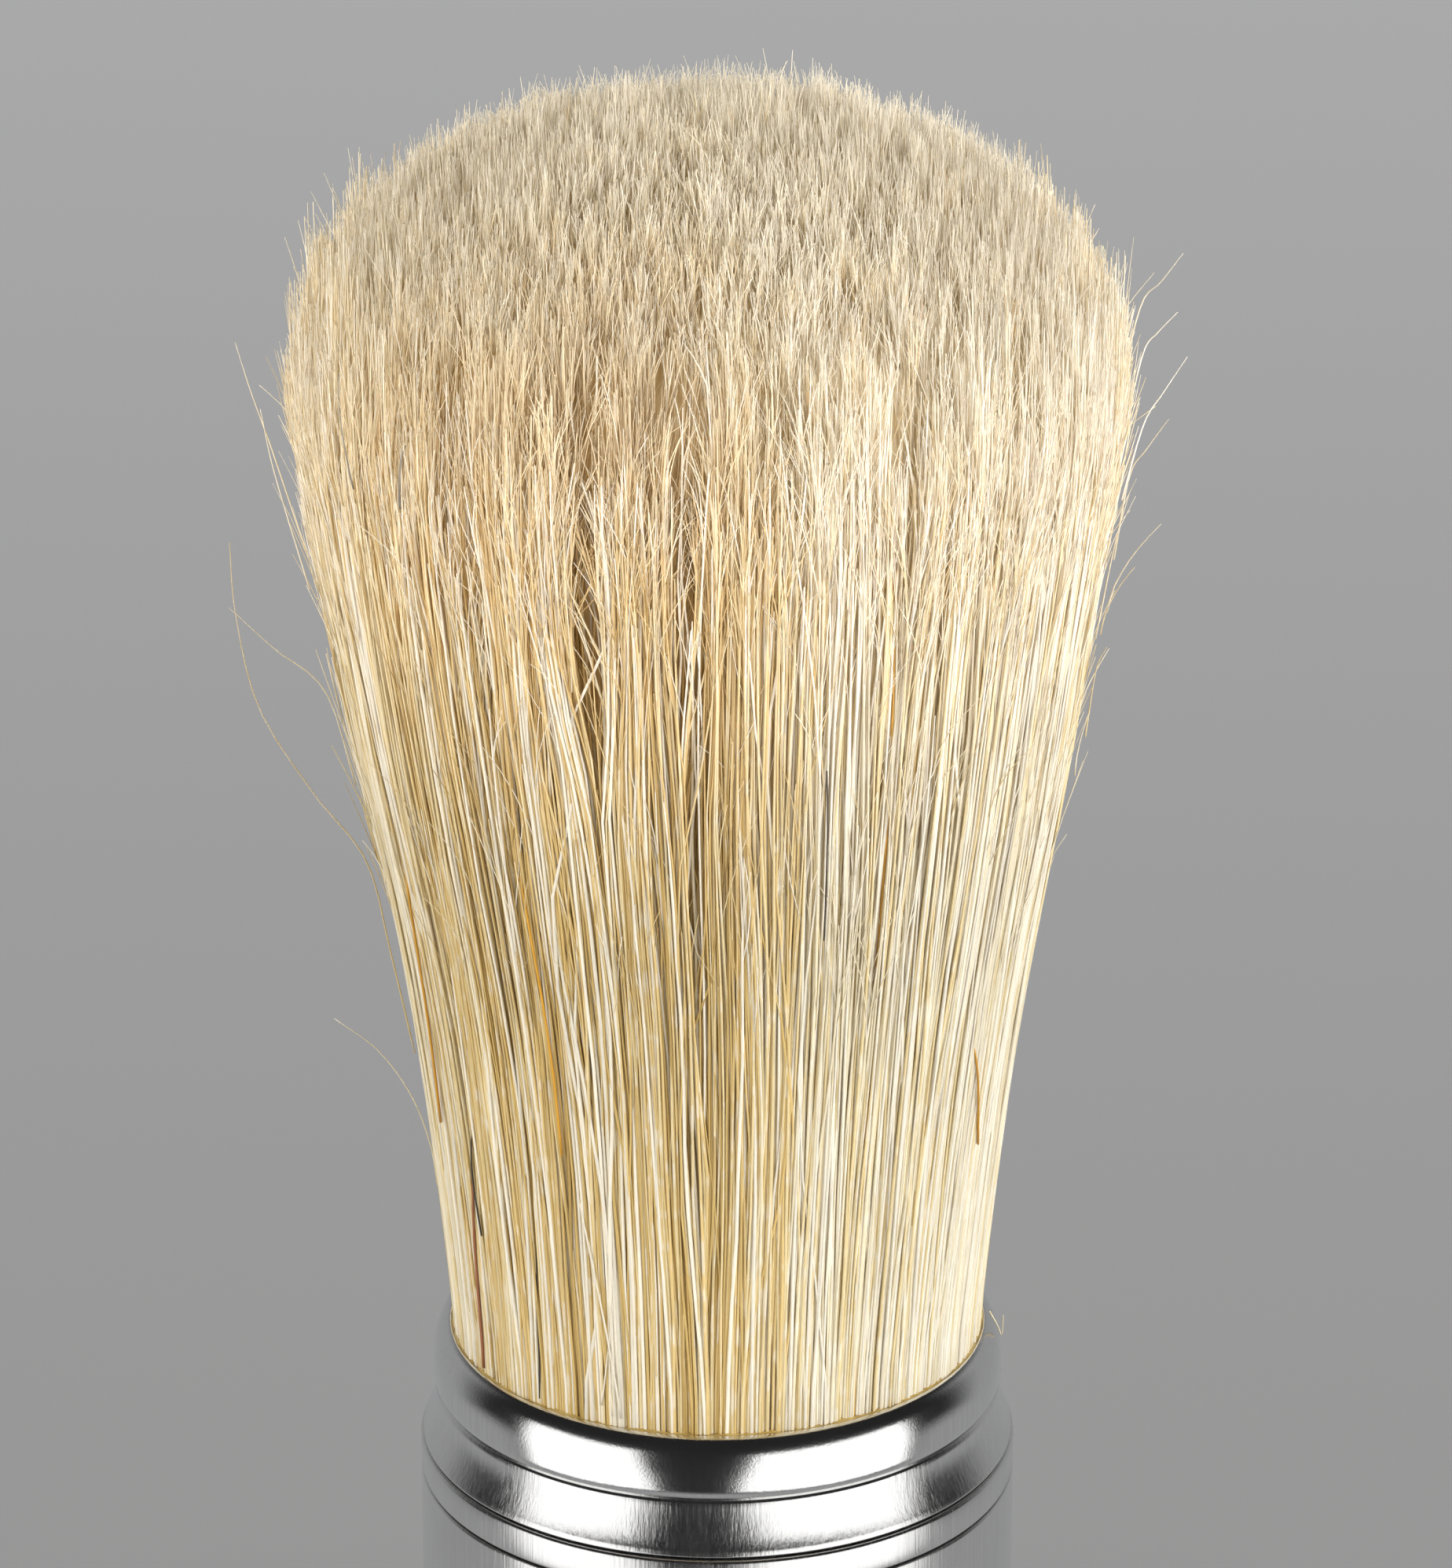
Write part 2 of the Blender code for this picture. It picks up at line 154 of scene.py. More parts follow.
def lathe(name, profile, seg=192, closed=True):
    """A turned piece of fine facets: profile (radius, height) in mm, down the outer side. A closed profile is a ring; an open one starts and ends on the axis."""
    p = np.array(profile, float)
    n = len(p)
    th = 2 * np.pi * np.arange(seg) / seg
    if closed:
        verts = np.stack([p[:, None, 0] * np.cos(th), p[:, None, 0] * np.sin(th), p[:, None, 1] + 0 * th], 2).reshape(-1, 3)
        i, j = np.meshgrid(np.arange(n), np.arange(seg), indexing="ij")
        i2, j2 = (i + 1) % n, (j + 1) % seg
        quads = np.stack([i * seg + j, i2 * seg + j, i2 * seg + j2, i * seg + j2], 2).reshape(-1, 4)
        ob = raw_mesh(name, verts, quads.ravel(), np.arange(len(quads)) * 4)
    else:
        q = p[1:-1]
        m = len(q)
        verts = np.stack([q[:, None, 0] * np.cos(th), q[:, None, 0] * np.sin(th), q[:, None, 1] + 0 * th], 2).reshape(-1, 3)
        verts = np.concatenate([verts, [[0, 0, p[0, 1]], [0, 0, p[-1, 1]]]])
        i, j = np.meshgrid(np.arange(m - 1), np.arange(seg), indexing="ij")
        j2 = (j + 1) % seg
        quads = np.stack([i * seg + j, (i + 1) * seg + j, (i + 1) * seg + j2, i * seg + j2], 2).reshape(-1, 4)
        jj = np.arange(seg)
        a, b = m * seg, m * seg + 1
        t1 = np.stack([np.full(seg, a), jj, (jj + 1) % seg], 1)
        t2 = np.stack([np.full(seg, b), (m - 1) * seg + (jj + 1) % seg, (m - 1) * seg + jj], 1)
        loops = np.concatenate([quads.ravel(), t1.ravel(), t2.ravel()])
        starts = np.concatenate([np.arange(len(quads)) * 4, len(quads) * 4 + np.arange(2 * seg) * 3])
        ob = raw_mesh(name, verts, loops, starts)
    ob.data.set_sharp_from_angle(angle=math.radians(38))
    return ob


def arc(cx, cz, rx, rz, a0, a1, n):
    return [(cx + rx * math.cos(math.radians(a0 + (a1 - a0) * i / n)), cz + rz * math.sin(math.radians(a0 + (a1 - a0) * i / n)))
            for i in range(n + 1)]


# ---------------------------------------------------------------- material helpers
class Mat:
    """A node material built with short calls; the Principled BSDF is self.b."""

    def __init__(self, name):
        self.m = bpy.data.materials.new(name)
        self.m.use_nodes = True
        self.nt = self.m.node_tree
        self.b = self.nt.nodes["Principled BSDF"]

    def node(self, kind, **props):
        n = self.nt.nodes.new(kind)
        for k, v in props.items():
            setattr(n, k, v)
        return n

    def link(self, a, b):
        self.nt.links.new(a, b)

    def math(self, op, a, b=None, c=None, clamp=False):
        n = self.node("ShaderNodeMath", operation=op, use_clamp=clamp)
        for s, v in zip(n.inputs, (a, b, c)):
            if v is None:
                continue
            if isinstance(v, (int, float)):
                s.default_value = v
            else:
                self.link(v, s)
        return n.outputs[0]

    def ramp(self, fac, stops, interpolation="LINEAR"):
        n = self.node("ShaderNodeValToRGB")
        r = n.color_ramp
        r.interpolation = interpolation
        while len(r.elements) < len(stops):
            r.elements.new(0.5)
        for e, (p, c) in zip(r.elements, stops):
            e.position = p
            e.color = (*c, 1) if len(c) == 3 else c
        self.link(fac, n.inputs[0])
        return n.outputs[0]

    def mix(self, fac, a, b, blend="MIX"):
        n = self.node("ShaderNodeMix", data_type="RGBA", blend_type=blend)
        for s, v in ((n.inputs[0], fac), (n.inputs[6], a), (n.inputs[7], b)):
            if isinstance(v, (int, float)):
                s.default_value = v
            elif isinstance(v, tuple):
                s.default_value = (*v, 1)
            else:
                self.link(v, s)
        return n.outputs[2]

    def coords(self, sx=1.0, sy=1.0, sz=1.0, kind="Object"):
        c = self.node("ShaderNodeTexCoord")
        m = self.node("ShaderNodeMapping")
        m.inputs["Scale"].default_value = (sx, sy, sz)
        self.link(c.outputs[kind], m.inputs["Vector"])
        return m.outputs[0]

    def noise(self, vec, scale=1.0, detail=3.0, rough=0.5, distortion=0.0, out="Fac"):
        n = self.node("ShaderNodeTexNoise")
        n.inputs["Scale"].default_value = scale
        n.inputs["Detail"].default_value = detail
        n.inputs["Roughness"].default_value = rough
        n.inputs["Distortion"].default_value = distortion
        self.link(vec, n.inputs["Vector"])
        return n.outputs[out]

    def bump(self, height, strength=0.2, distance=0.0001):
        n = self.node("ShaderNodeBump")
        n.inputs["Strength"].default_value = strength
        n.inputs["Distance"].default_value = distance
        self.link(height, n.inputs["Height"])
        self.link(n.outputs[0], self.b.inputs["Normal"])
        return n

    def set(self, name, value):
        s = self.b.inputs[name]
        if isinstance(value, (int, float)):
            s.default_value = value
        elif isinstance(value, tuple):
            s.default_value = (*value, 1)
        else:
            self.link(value, s)
        return self


def assign(obj, mat):
    obj.data.materials.clear()
    obj.data.materials.append(mat)


# ---------------------------------------------------------------- bristle material
# The bristle tubes' UV map holds (colour lane, height share): each bristle keeps one lane, so its tint stays its own.
H_LO, H_HI = -6.0, 68.0


def v_of(h):
    return (h - H_LO) / (H_HI - H_LO)


LANES = {  # (from, to, albedo near the ferrule, albedo near the tip)
    "pale": (0.00, 0.30, (0.87, 0.78, 0.56), (0.94, 0.84, 0.67)),
    "straw": (0.30, 0.52, (0.81, 0.66, 0.36), (0.93, 0.79, 0.54)),
    "golden": (0.52, 0.66, (0.76, 0.57, 0.25), (0.89, 0.71, 0.41)),
    "tan": (0.66, 0.76, (0.66, 0.47, 0.17), (0.82, 0.61, 0.33)),
    "white": (0.76, 0.92, (0.92, 0.86, 0.72), (0.95, 0.88, 0.77)),
    "orange": (0.92, 0.94, (0.78, 0.40, 0.04), (0.80, 0.52, 0.18)),
    "red": (0.94, 0.96, (0.32, 0.12, 0.05), (0.45, 0.22, 0.10)),
    # painted shade: this umber lane goes to deep bristles and to those in the clefts
    "umber_painted_shade": (0.96, 0.98, (0.46, 0.31, 0.10), (0.52, 0.35, 0.14)),
    "dark": (0.98, 1.00, (0.035, 0.03, 0.028), (0.06, 0.05, 0.045)),
}


def pick_lane(kind, n):
    a, b = LANES[kind][:2]
    cells = np.arange(math.ceil(a * 256), math.floor(b * 256))
    return (rng.choice(cells, n) + 0.5) / 256


def bristle_material():
    m = Mat("bristle")
    uvn = m.node("ShaderNodeUVMap", uv_map="OFBake")
    sep = m.node("ShaderNodeSeparateXYZ")
    m.link(uvn.outputs[0], sep.inputs[0])
    u, v = sep.outputs[0], sep.outputs[1]
    names = list(LANES)
    root = m.ramp(u, [(LANES[k][0], LANES[k][2]) for k in names], "CONSTANT")
    tip = m.ramp(u, [(LANES[k][0], LANES[k][3]) for k in names], "CONSTANT")
    up = m.node("ShaderNodeMapRange", interpolation_type="SMOOTHSTEP")
    up.inputs["From Min"].default_value = float(v_of(22.0))
    up.inputs["From Max"].default_value = float(v_of(53.0))
    m.link(v, up.inputs["Value"])
    col = m.mix(up.outputs[0], root, tip)
    over = m.node("ShaderNodeMapRange", interpolation_type="SMOOTHSTEP")
    over.inputs["From Min"].default_value = float(v_of(43.0))
    over.inputs["From Max"].default_value = float(v_of(56.0))
    m.link(v, over.inputs["Value"])
    pale_lane = m.math("ADD", m.math("MULTIPLY", m.math("LESS_THAN", u, 0.52), 0.30), 0.48)
    col = m.mix(m.math("MULTIPLY", over.outputs[0], pale_lane), col, (0.94, 0.87, 0.72))
    cell = m.math("FLOOR", m.math("MULTIPLY", u, 256.0))
    wn = m.node("ShaderNodeTexWhiteNoise", noise_dimensions="1D")
    m.link(cell, wn.inputs["W"])
    vec = m.node("ShaderNodeCombineXYZ")
    m.link(m.math("MULTIPLY", cell, 7.31), vec.inputs[0])
    m.link(m.math("MULTIPLY", v, 34.0), vec.inputs[1])
    along = m.noise(vec.outputs[0], 1.0, 2.0, 0.55)
    val = m.math("ADD", m.math("MULTIPLY", wn.outputs["Value"], 0.14), m.math("MULTIPLY", along, 0.26))
    val = m.math("ADD", val, m.math("ADD", m.math("MULTIPLY", up.outputs[0], 0.285), 0.58))
    # painted highlight: short near-white glints along the pale, straw and golden bristles, weaker towards the tips
    vec2 = m.node("ShaderNodeCombineXYZ")
    m.link(m.math("MULTIPLY", cell, 3.77), vec2.inputs[0])
    m.link(m.math("MULTIPLY", v, 42.0), vec2.inputs[1])
    painted_glint = m.node("ShaderNodeMapRange", interpolation_type="SMOOTHSTEP")
    painted_glint.inputs["From Min"].default_value, painted_glint.inputs["From Max"].default_value = 0.53, 0.66
    m.link(m.noise(vec2.outputs[0], 1.0, 1.0, 0.5), painted_glint.inputs["Value"])
    glint_share = m.math("MULTIPLY", painted_glint.outputs[0], m.math("SUBTRACT", 0.50, m.math("MULTIPLY", up.outputs[0], 0.34)))
    light_lane = m.math("LESS_THAN", u, 0.66)
    col = m.mix(m.math("MULTIPLY", glint_share, light_lane), col, (0.97, 0.92, 0.81))
    hsv = m.node("ShaderNodeHueSaturation")
    m.link(col, hsv.inputs["Color"])
    m.link(val, hsv.inputs["Value"])
    m.set("Base Color", hsv.outputs[0])
    m.set("Roughness", m.math("ADD", m.math("MULTIPLY", up.outputs[0], 0.28), 0.30))
    m.set("Specular IOR Level", 0.55)
    return m.m


MAT_BRISTLE = bristle_material()

# ---------------------------------------------------------------- bristle paths
CLEFTS = [  # angle at the axis (deg, 0 = front, + to the right), half width of the opening, reach, from height, to height
    (-2.8, 0.36, 1.8, 5, 57), (-3.6, 0.60, 1.7, 33, 59), (-17.0, 1.20, 2.0, 33, 61), (-24.0, 0.32, 1.4, 12, 42), (28.5, 0.75, 1.6, 41, 61), (-7.5, 0.45, 1.3, 47, 62), (-34.0, 0.45, 1.4, 33, 52), (9.5, 0.18, 1.0, 22, 50),
    (-38.0, 0.22, 1.2, 30, 54), (41.0, 0.14, 1.2, 18, 44), (-57.0, 0.15, 1.1, 14, 40), (60.0, 0.12, 1.2, 30, 56)]
for a in np.arange(82, 278, 14.5):
    CLEFTS.append((float(a + rng.uniform(-4, 4)), float(rng.uniform(0.12, 0.34)), float(rng.uniform(1.0, 1.6)),
                   float(rng.uniform(4, 26)), float(rng.uniform(40, 60))))


def wrap(a):
    return (a + np.pi) % (2 * np.pi) - np.pi


def lean(h):
    """How far the whole knot leans to one side (mm)."""
    return -0.38 * smooth(h, 18, 42)


# locks: neighbouring bristles that stick together towards their ends
EDGE_Q = 0.985
N_LOCK = 84
lock_jit = rng.uniform(-0.30, 0.30, N_LOCK)
lock_slope = rng.normal(0, 0.75, N_LOCK)
lock_curve = rng.normal(0, 0.75, N_LOCK)
lock_back = np.abs(rng.normal(0, 0.45, N_LOCK))
lock_end = rng.normal(-0.6, 1.9, N_LOCK)
lock_tint = rng.normal(0, 1.0, N_LOCK)
lock_hold = rng.uniform(0.45, 1.0, N_LOCK)
N_BUNDLE = 250
bundle_jit = rng.uniform(-0.38, 0.38, N_BUNDLE)
bundle_slope = rng.normal(0, 0.30, N_BUNDLE)
bundle_hold = rng.uniform(0.0, 0.75, N_BUNDLE)
bundle_tint = rng.normal(0, 1.0, N_BUNDLE)


class Strands:
    """Parameters of n bristles; at(h) gives their centrelines."""

    def __init__(self, theta, q, h_end, wander=1.0, flare=0.0, locks=1.0, layer=0):
        n = len(theta)
        self.n, self.theta, self.q, self.h_end = n, theta, q, h_end
        cross = rng.random(n) < 0.22
        self.slope = rng.normal(0, 0.75, n) * wander + np.where(cross, rng.normal(0, 1.9, n), 0) * wander
        self.curve = rng.normal(0, 0.55, n) * wander
        self.wave = np.where(cross, np.abs(rng.normal(0, 0.50, n)), np.abs(rng.normal(0, 0.22, n))) * wander
        self.phase = rng.uniform(0, 2 * np.pi, n)
        self.freq = 2 * np.pi / rng.uniform(28, 80, n)
        self.wave2 = rng.uniform(0.0, 0.05, n)
        self.phase2 = rng.uniform(0, 2 * np.pi, n)
        self.freq2 = 2 * np.pi / rng.uniform(9, 20, n)
        self.rwave = rng.uniform(0.0, 0.12, n)
        self.rphase = rng.uniform(0, 2 * np.pi, n)
        self.flare = np.full(n, flare) if np.isscalar(flare) else flare
        k = np.floor((theta % (2 * np.pi)) / (2 * np.pi) * N_LOCK + rng.normal(0, 0.20, n)).astype(int) % N_LOCK
        centre = (k + 0.5) * 2 * np.pi / N_LOCK
        k = (k + 31 * layer) % N_LOCK  # each layer of depth has locks of its own
        self.lock = k
        follow = np.where(rng.random(n) < 0.16, 0.15, 1.0) * rng.uniform(0.5, 1.0, n) * locks
        self.l_pull = follow * lock_hold[k]
        self.l_off = wrap(centre + lock_jit[k] * 2 * np.pi / N_LOCK - theta)
        self.l_slope = follow * lock_slope[k]
        self.l_curve = follow * lock_curve[k]
        self.l_back = follow * lock_back[k]
        j = np.floor((theta % (2 * np.pi)) / (2 * np.pi) * N_BUNDLE + rng.normal(0, 0.20, n)).astype(int) % N_BUNDLE
        self.bundle = j
        self.tuft_x = self.tuft_y = np.zeros(n)
        self.pushed = np.where(rng.random(n) < 0.06, 0.1, 1.0)  # the others bridge the clefts
        self.b_off = wrap((j + 0.5 + bundle_jit[j]) * 2 * np.pi / N_BUNDLE - theta)
        self.b_pull = rng.uniform(0.3, 1.0, n) * bundle_hold[j]
        self.b_slope = bundle_slope[j] * rng.uniform(0.4, 1.0, n)

    def take(self, index):
        out = object.__new__(Strands)
        out.__dict__ = {k: (v[index] if isinstance(v, np.ndarray) else v) for k, v in self.__dict__.items()}
        out.n = len(index)
        return out

    def at(self, h):
        """Centreline points at heights h (n, k) above the rim."""
        q, th = self.q[:, None], self.theta[:, None]
        r = (q + (1 - EDGE_Q) * (1 - smooth(h, 2, 24))) * knot_r(h)
        up = smooth(h, 12, 46)
        th = th + up * self.l_pull[:, None] * self.l_off[:, None]
        th = th + smooth(h, 1, 16) * (1 - 0.6 * smooth(h, 40, 56)) * self.b_pull[:, None] * self.b_off[:, None]
        x = np.clip(h, 0, None) / 60.0
        side = (self.slope + self.l_slope + self.b_slope)[:, None] * x + (self.curve + self.l_curve)[:, None] * x**2 * 1.3
        side = side + self.wave[:, None] * (np.sin(self.freq[:, None] * h + self.phase[:, None]) - np.sin(self.phase[:, None])) * smooth(h, -2, 9)
        side = side + self.wave2[:, None] * np.sin(self.freq2[:, None] * h + self.phase2[:, None]) * smooth(h, 0, 14)
        push = 0.0
        for ang, half, reach, h0, h1 in CLEFTS:
            d = wrap(th + side * 0.8 / np.maximum(r, 1.5) - math.radians(ang))
            s = d * r
            g = smooth(h, h0, h0 + 9) * (1 - smooth(h, h1 - 7, h1)) * q**5
            push = push + half * g * np.tanh(s / 0.12) * np.exp(-np.abs(s) / reach)
        th = th + (side * 0.8 + push * self.pushed[:, None]) / np.maximum(r, 1.5)
        r = r - self.l_back[:, None] * smooth(h, 16, 50) * q
        r = r + self.rwave[:, None] * np.sin(0.21 * h + self.rphase[:, None]) * smooth(h, 2, 20) * q
        r = r + self.flare[:, None] * smooth(h, self.h_end[:, None] - 9, self.h_end[:, None]) ** 1.5
        tip = smooth(h, self.h_end[:, None] - 13, self.h_end[:, None] + 1)
        return np.stack([r * np.sin(th) + lean(h) + tip * self.tuft_x[:, None], -r * np.cos(th) + tip * self.tuft_y[:, None], RIM + h], 2)


def shafts(S, h0, k, r_root, r_mid, r_tip, lane, sides=3):
    """Tubes of the bristles S from height h0 to their ends."""
    t = np.linspace(0, 1, k)[None, :]
    h = h0[:, None] + (S.h_end - h0)[:, None] * (1 - (1 - t) ** 1.15)
    P = S.at(h)
    left = (S.h_end[:, None] - h)
    R = r_root + (r_mid - r_root) * smooth(h, 0, 40)
    R = R * S.thick[:, None]
    R = r_tip + (R - r_tip) * smooth(left, -0.4, 8.0)
    return tubes(P, R, lane, v_of(h), S.theta + np.pi / 2 + (np.pi / 4 if sides == 4 else 0) + rng.normal(0, 0.22, S.n), sides)


def flags(S, count, k, length, spread, curl, r0, r1, lane, extra=0.5, drop=0.3):
    """The split ends: count fine filaments that leave each bristle near its tip."""
    idx = np.repeat(np.arange(S.n), count)
    T = S.take(idx)
    n = len(idx)
    L = rng.uniform(*length, n)
    end = T.h_end + rng.normal(-drop, extra, n)
    t = np.linspace(0, 1, k)[None, :]
    h = end[:, None] - L[:, None] * (1 - t)
    P = T.at(h)
    s = (L[:, None] * t)
    tang = rng.normal(0, spread, n)[:, None] * s + rng.normal(0, curl, n)[:, None] * s * t
    out = rng.normal(-0.01, spread * 0.45, n)[:, None] * s + rng.normal(0, curl * 0.45, n)[:, None] * s * t
    a = T.theta[:, None]
    P[:, :, 0] += tang * np.cos(a) + out * np.sin(a)
    P[:, :, 1] += tang * np.sin(a) - out * np.cos(a)
    P[:, :, 2] -= 0.4 * (tang**2 + out**2) / np.maximum(L[:, None], 1e-3)
    R = r0 + (r1 - r0) * t + np.zeros((n, 1))
    R = R * rng.uniform(0.75, 1.2, n)[:, None]
    return tubes(P, R, lane[idx], v_of(h), T.theta + np.pi / 2 + rng.normal(0, 0.35, n))


def cleft_painted_shade(theta, q):
    """Painted shade: the deeper bristles in the clefts get browner lanes."""
    out = 0.0
    for ang, sigma, amount in ((-17.0, 1.1, 1.0), (-3.0, 1.0, 1.0), (27.5, 0.9, 0.8), (-24.0, 0.7, 0.6)):
        out = out + amount * np.exp(-((wrap(theta - math.radians(ang)) * q * 18.0 / sigma) ** 2))
    return out


def side_tone_and_painted_shade(theta):
    """How golden the bristles are round the knot: more on the front left, as painted shade over the hair's own tone,
    and less on the front right, as painted light.
    """
    d = np.degrees(wrap(theta))
    return 2.0 * np.exp(-((d + 36) / 25.0) ** 2) + 1.5 * np.exp(-((d + 1) / 14.0) ** 2) + 0.25 - 0.70 * np.exp(-((d - 52) / 36.0) ** 2) + 0.18 * np.sin(3 * theta + 2.2)


def lanes_for(S, depth, warm=1.0):
    """Colour lanes by depth under the surface: paler outside and more golden inside as painted shade, in drifts round
    the knot.
    """
    n = len(depth)
    # painted shade: lanes grow more golden with depth and browner in the clefts; the side term adds painted shade on
    # the front left and painted light on the front right, on top of random tone
    x = rng.random(n) * 0.9 + 0.22 * np.clip(depth, 0, 3) + cleft_painted_shade(S.theta, S.q) * np.clip(depth, 0.1, 0.9) * 0.8 + 0.30 * warm * side_tone_and_painted_shade(S.theta) + 0.07 * lock_tint[S.lock] + 0.08 * bundle_tint[S.bundle]
    lane = pick_lane("white", n)
    for lim, kind in ((0.22, "pale"), (0.60, "straw"), (0.95, "golden"), (1.30, "tan"), (1.62, "umber_painted_shade")):
        sel = x > lim
        lane[sel] = pick_lane(kind, int(sel.sum()))
    odd = rng.random(n)
    for lo, hi, kind in ((0, 0.0005, "dark"), (0.0005, 0.0015, "red"), (0.0015, 0.005, "orange")):
        sel = (odd < hi) & (odd >= lo)
        lane[sel] = pick_lane(kind, int(sel.sum()))
    return lane


def blend_knot(ob):
    """Bakes a bristle piece's placement into its mesh."""
    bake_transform(ob)
    return ob


N_OUT, N_IN = 7400, 7200

# outer bristles, whole length
theta = rng.uniform(-np.pi, np.pi, N_OUT)
depth = rng.exponential(0.62, N_OUT)
depth = np.where(depth > 1.75, rng.uniform(0.1, 1.75, N_OUT), depth)
q = EDGE_Q - depth / 13.0
h_end = crown_h(q) - np.abs(rng.normal(0, 1.0, N_OUT)) - np.where(rng.random(N_OUT) < 0.40, rng.exponential(2.6, N_OUT), 0)
h_end = h_end + np.where(rng.random(N_OUT) < 0.22, rng.uniform(0.8, 3.2, N_OUT) * (1 - depth / 2.2), 0)
short = rng.random(N_OUT) < 0.30 * np.exp(-depth / 1.2)
h_end = np.where(short, 51.0 - 27.0 * rng.random(N_OUT) ** 1.7, h_end)
layer = np.floor(depth / 0.75).astype(int)
outer = Strands(theta, q, h_end, 1.0, layer=layer, flare=np.where(short, rng.uniform(-0.1, 0.35, N_OUT), rng.normal(0.0, 0.12, N_OUT)))
outer.h_end = outer.h_end + np.where(short, 0, np.minimum(lock_end[outer.lock], 1.2))
outer.thick = rng.uniform(0.75, 1.25, N_OUT)
strong = (rng.random(N_OUT) < 0.15) & ((depth < 0.32) | (rng.random(N_OUT) < 0.6))
lane_out = lanes_for(outer, depth)
outer.thick[strong] *= 1.30
lane_out[strong] = pick_lane("white", int(strong.sum()))

# inner bristles: only their upper ends show, on the crown
q_in = np.sqrt(rng.uniform(0, (EDGE_Q - 1.6 / 13) ** 2, N_IN))
theta_in = rng.uniform(-np.pi, np.pi, N_IN)
inner = Strands(theta_in, q_in, crown_h(q_in) - 0.15 - np.abs(rng.normal(0, 0.34, N_IN)), 1.0, flare=0.0, locks=0.7)
CELL = 1.15  # tufts on the crown, on a jittered grid
tx, ty = R_TOP * q_in * np.sin(theta_in), -R_TOP * q_in * np.cos(theta_in)
ix = np.floor(tx / CELL + rng.normal(0, 0.16, N_IN) + 0.5 * np.floor(ty / CELL)).astype(int) + 40
iy = np.floor(ty / CELL + rng.normal(0, 0.16, N_IN)).astype(int) + 40
jit = rng.uniform(-0.34, 0.34, (90, 90, 2))
tuft_end = np.minimum(rng.normal(-0.15, 0.38, (90, 90)), 0.4)
tuft_pull = rng.uniform(0.10, 0.65, (90, 90))
cy = (iy - 40 + 0.5 + jit[ix, iy, 1]) * CELL
cx = (ix - 40 + 0.5 + jit[ix, iy, 0] - 0.5 * (iy - 40)) * CELL
pull = tuft_pull[ix, iy] * rng.uniform(0.4, 1.0, N_IN) * np.where(rng.random(N_IN) < 0.12, 0.0, 1.0)
inner.tuft_x, inner.tuft_y = (cx - tx) * pull, (cy - ty) * pull
inner.l_pull = inner.l_pull * 0.0
inner.h_end = inner.h_end + tuft_end[ix, iy] - 0.35 * np.hypot(cx - tx, cy - ty)
inner.thick = rng.uniform(0.8, 1.2, N_IN)
# painted shade: inner bristles by the clefts count as deeper, so they get the browner lanes
lane_in = lanes_for(inner, np.where(cleft_painted_shade(theta_in, q_in) > 0.4, 0.15 + 0.8 * smooth(q_in, 0.45, 0.8), 0.15), 0.65 * smooth(q_in, 0.35, 0.9))

bright = (rng.random(N_IN) < 0.12) & (q_in > 0.45)
inner.thick[bright] *= 1.35
lane_in[bright] = pick_lane("white", int(bright.sum()))

# long bristles that come out from under the others near their ends
N_TOP = 480
th_top = rng.uniform(-np.pi, np.pi, N_TOP)
q_top = EDGE_Q - rng.uniform(0.012, 0.040, N_TOP)
top = Strands(th_top, q_top, 51.5 - 9.0 * rng.random(N_TOP) ** 1.5, 1.25, flare=rng.uniform(0.35, 0.85, N_TOP), locks=0.35)
top.pushed = np.where(rng.random(N_TOP) < 0.5, 0.1, 0.9)
top.thick = rng.uniform(0.95, 1.45, N_TOP)
lane_top = pick_lane("white", N_TOP)
for lim, kind in ((0.55, "pale"), (0.85, "straw"), (0.96, "golden")):
    sel = rng.random(N_TOP) > lim
    lane_top[sel] = pick_lane(kind, int(sel.sum()))

knot = [tube_object("bristle_long", [shafts(top, np.full(N_TOP, -3.5), 16, 0.076, 0.064, 0.030, lane_top, 4),
                                     flags(top, 2, 5, (2.0, 6.0), 0.12, 0.12, 0.036, 0.015, lane_top)])]
for i in range(4):
    idx = np.where((np.floor((theta + np.pi) / (2 * np.pi) * 4).astype(int) % 4) == i)[0]
    S = outer.take(idx)
    knot.append(tube_object(f"bristle_shafts_{i + 1}", [shafts(S, np.full(S.n, -3.5), 12, 0.080, 0.056, 0.026, lane_out[idx], 4)]))
    knot.append(tube_object(f"bristle_flags_{i + 1}", [flags(S, 3, 5, (2.5, 7.5), 0.10, 0.12, 0.038, 0.016, lane_out[idx])]))
for i in range(2):
    idx = np.arange(i, N_IN, 2)
    S = inner.take(idx)
    knot.append(tube_object(f"bristle_crown_{i + 1}", [shafts(S, S.h_end - 10.0, 6, 0.066, 0.056, 0.024, lane_in[idx])]))
for i in range(3):
    idx = np.arange(i, N_IN, 3)
    knot.append(tube_object(f"bristle_crown_flags_{i + 1}",
                            [flags(inner.take(idx), 4, 3, (1.4, 3.6), 0.17, 0.07, 0.028, 0.013, lane_in[idx], 0.42, -0.15)]))
for ob in knot:
    assign(ob, MAT_BRISTLE)
    blend_knot(ob)
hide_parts("bristle_roots", "bristle_bulb")

# ---------------------------------------------------------------- single bristles that stand out
def path_points(points, k=14):
    """k points of a smooth curve through the given (x, y, h) points, in mm."""
    p = np.array(points, float)
    p = np.concatenate([[2 * p[0] - p[1]], p, [2 * p[-1] - p[-2]]])
    t = np.linspace(0, len(p) - 3 - 1e-6, k)
    i = np.floor(t).astype(int)
    f = (t - i)[:, None]
    a, b, c, d = p[i], p[i + 1], p[i + 2], p[i + 3]
    out = 0.5 * (2 * b + (c - a) * f + (2 * a - 5 * b + 4 * c - d) * f**2 + (3 * b - a - 3 * c + d) * f**3)
    out[:, 2] += RIM
    return out


def single(points, kind, r0=0.05, r1=0.02, k=14):
    P = path_points(points, k)[None]
    R = np.linspace(r0, r1, k)[None]
    V = v_of(P[:, :, 2] - RIM)
    return tubes(P, R, pick_lane(kind, 1), V, rng.uniform(0, 6, 1))


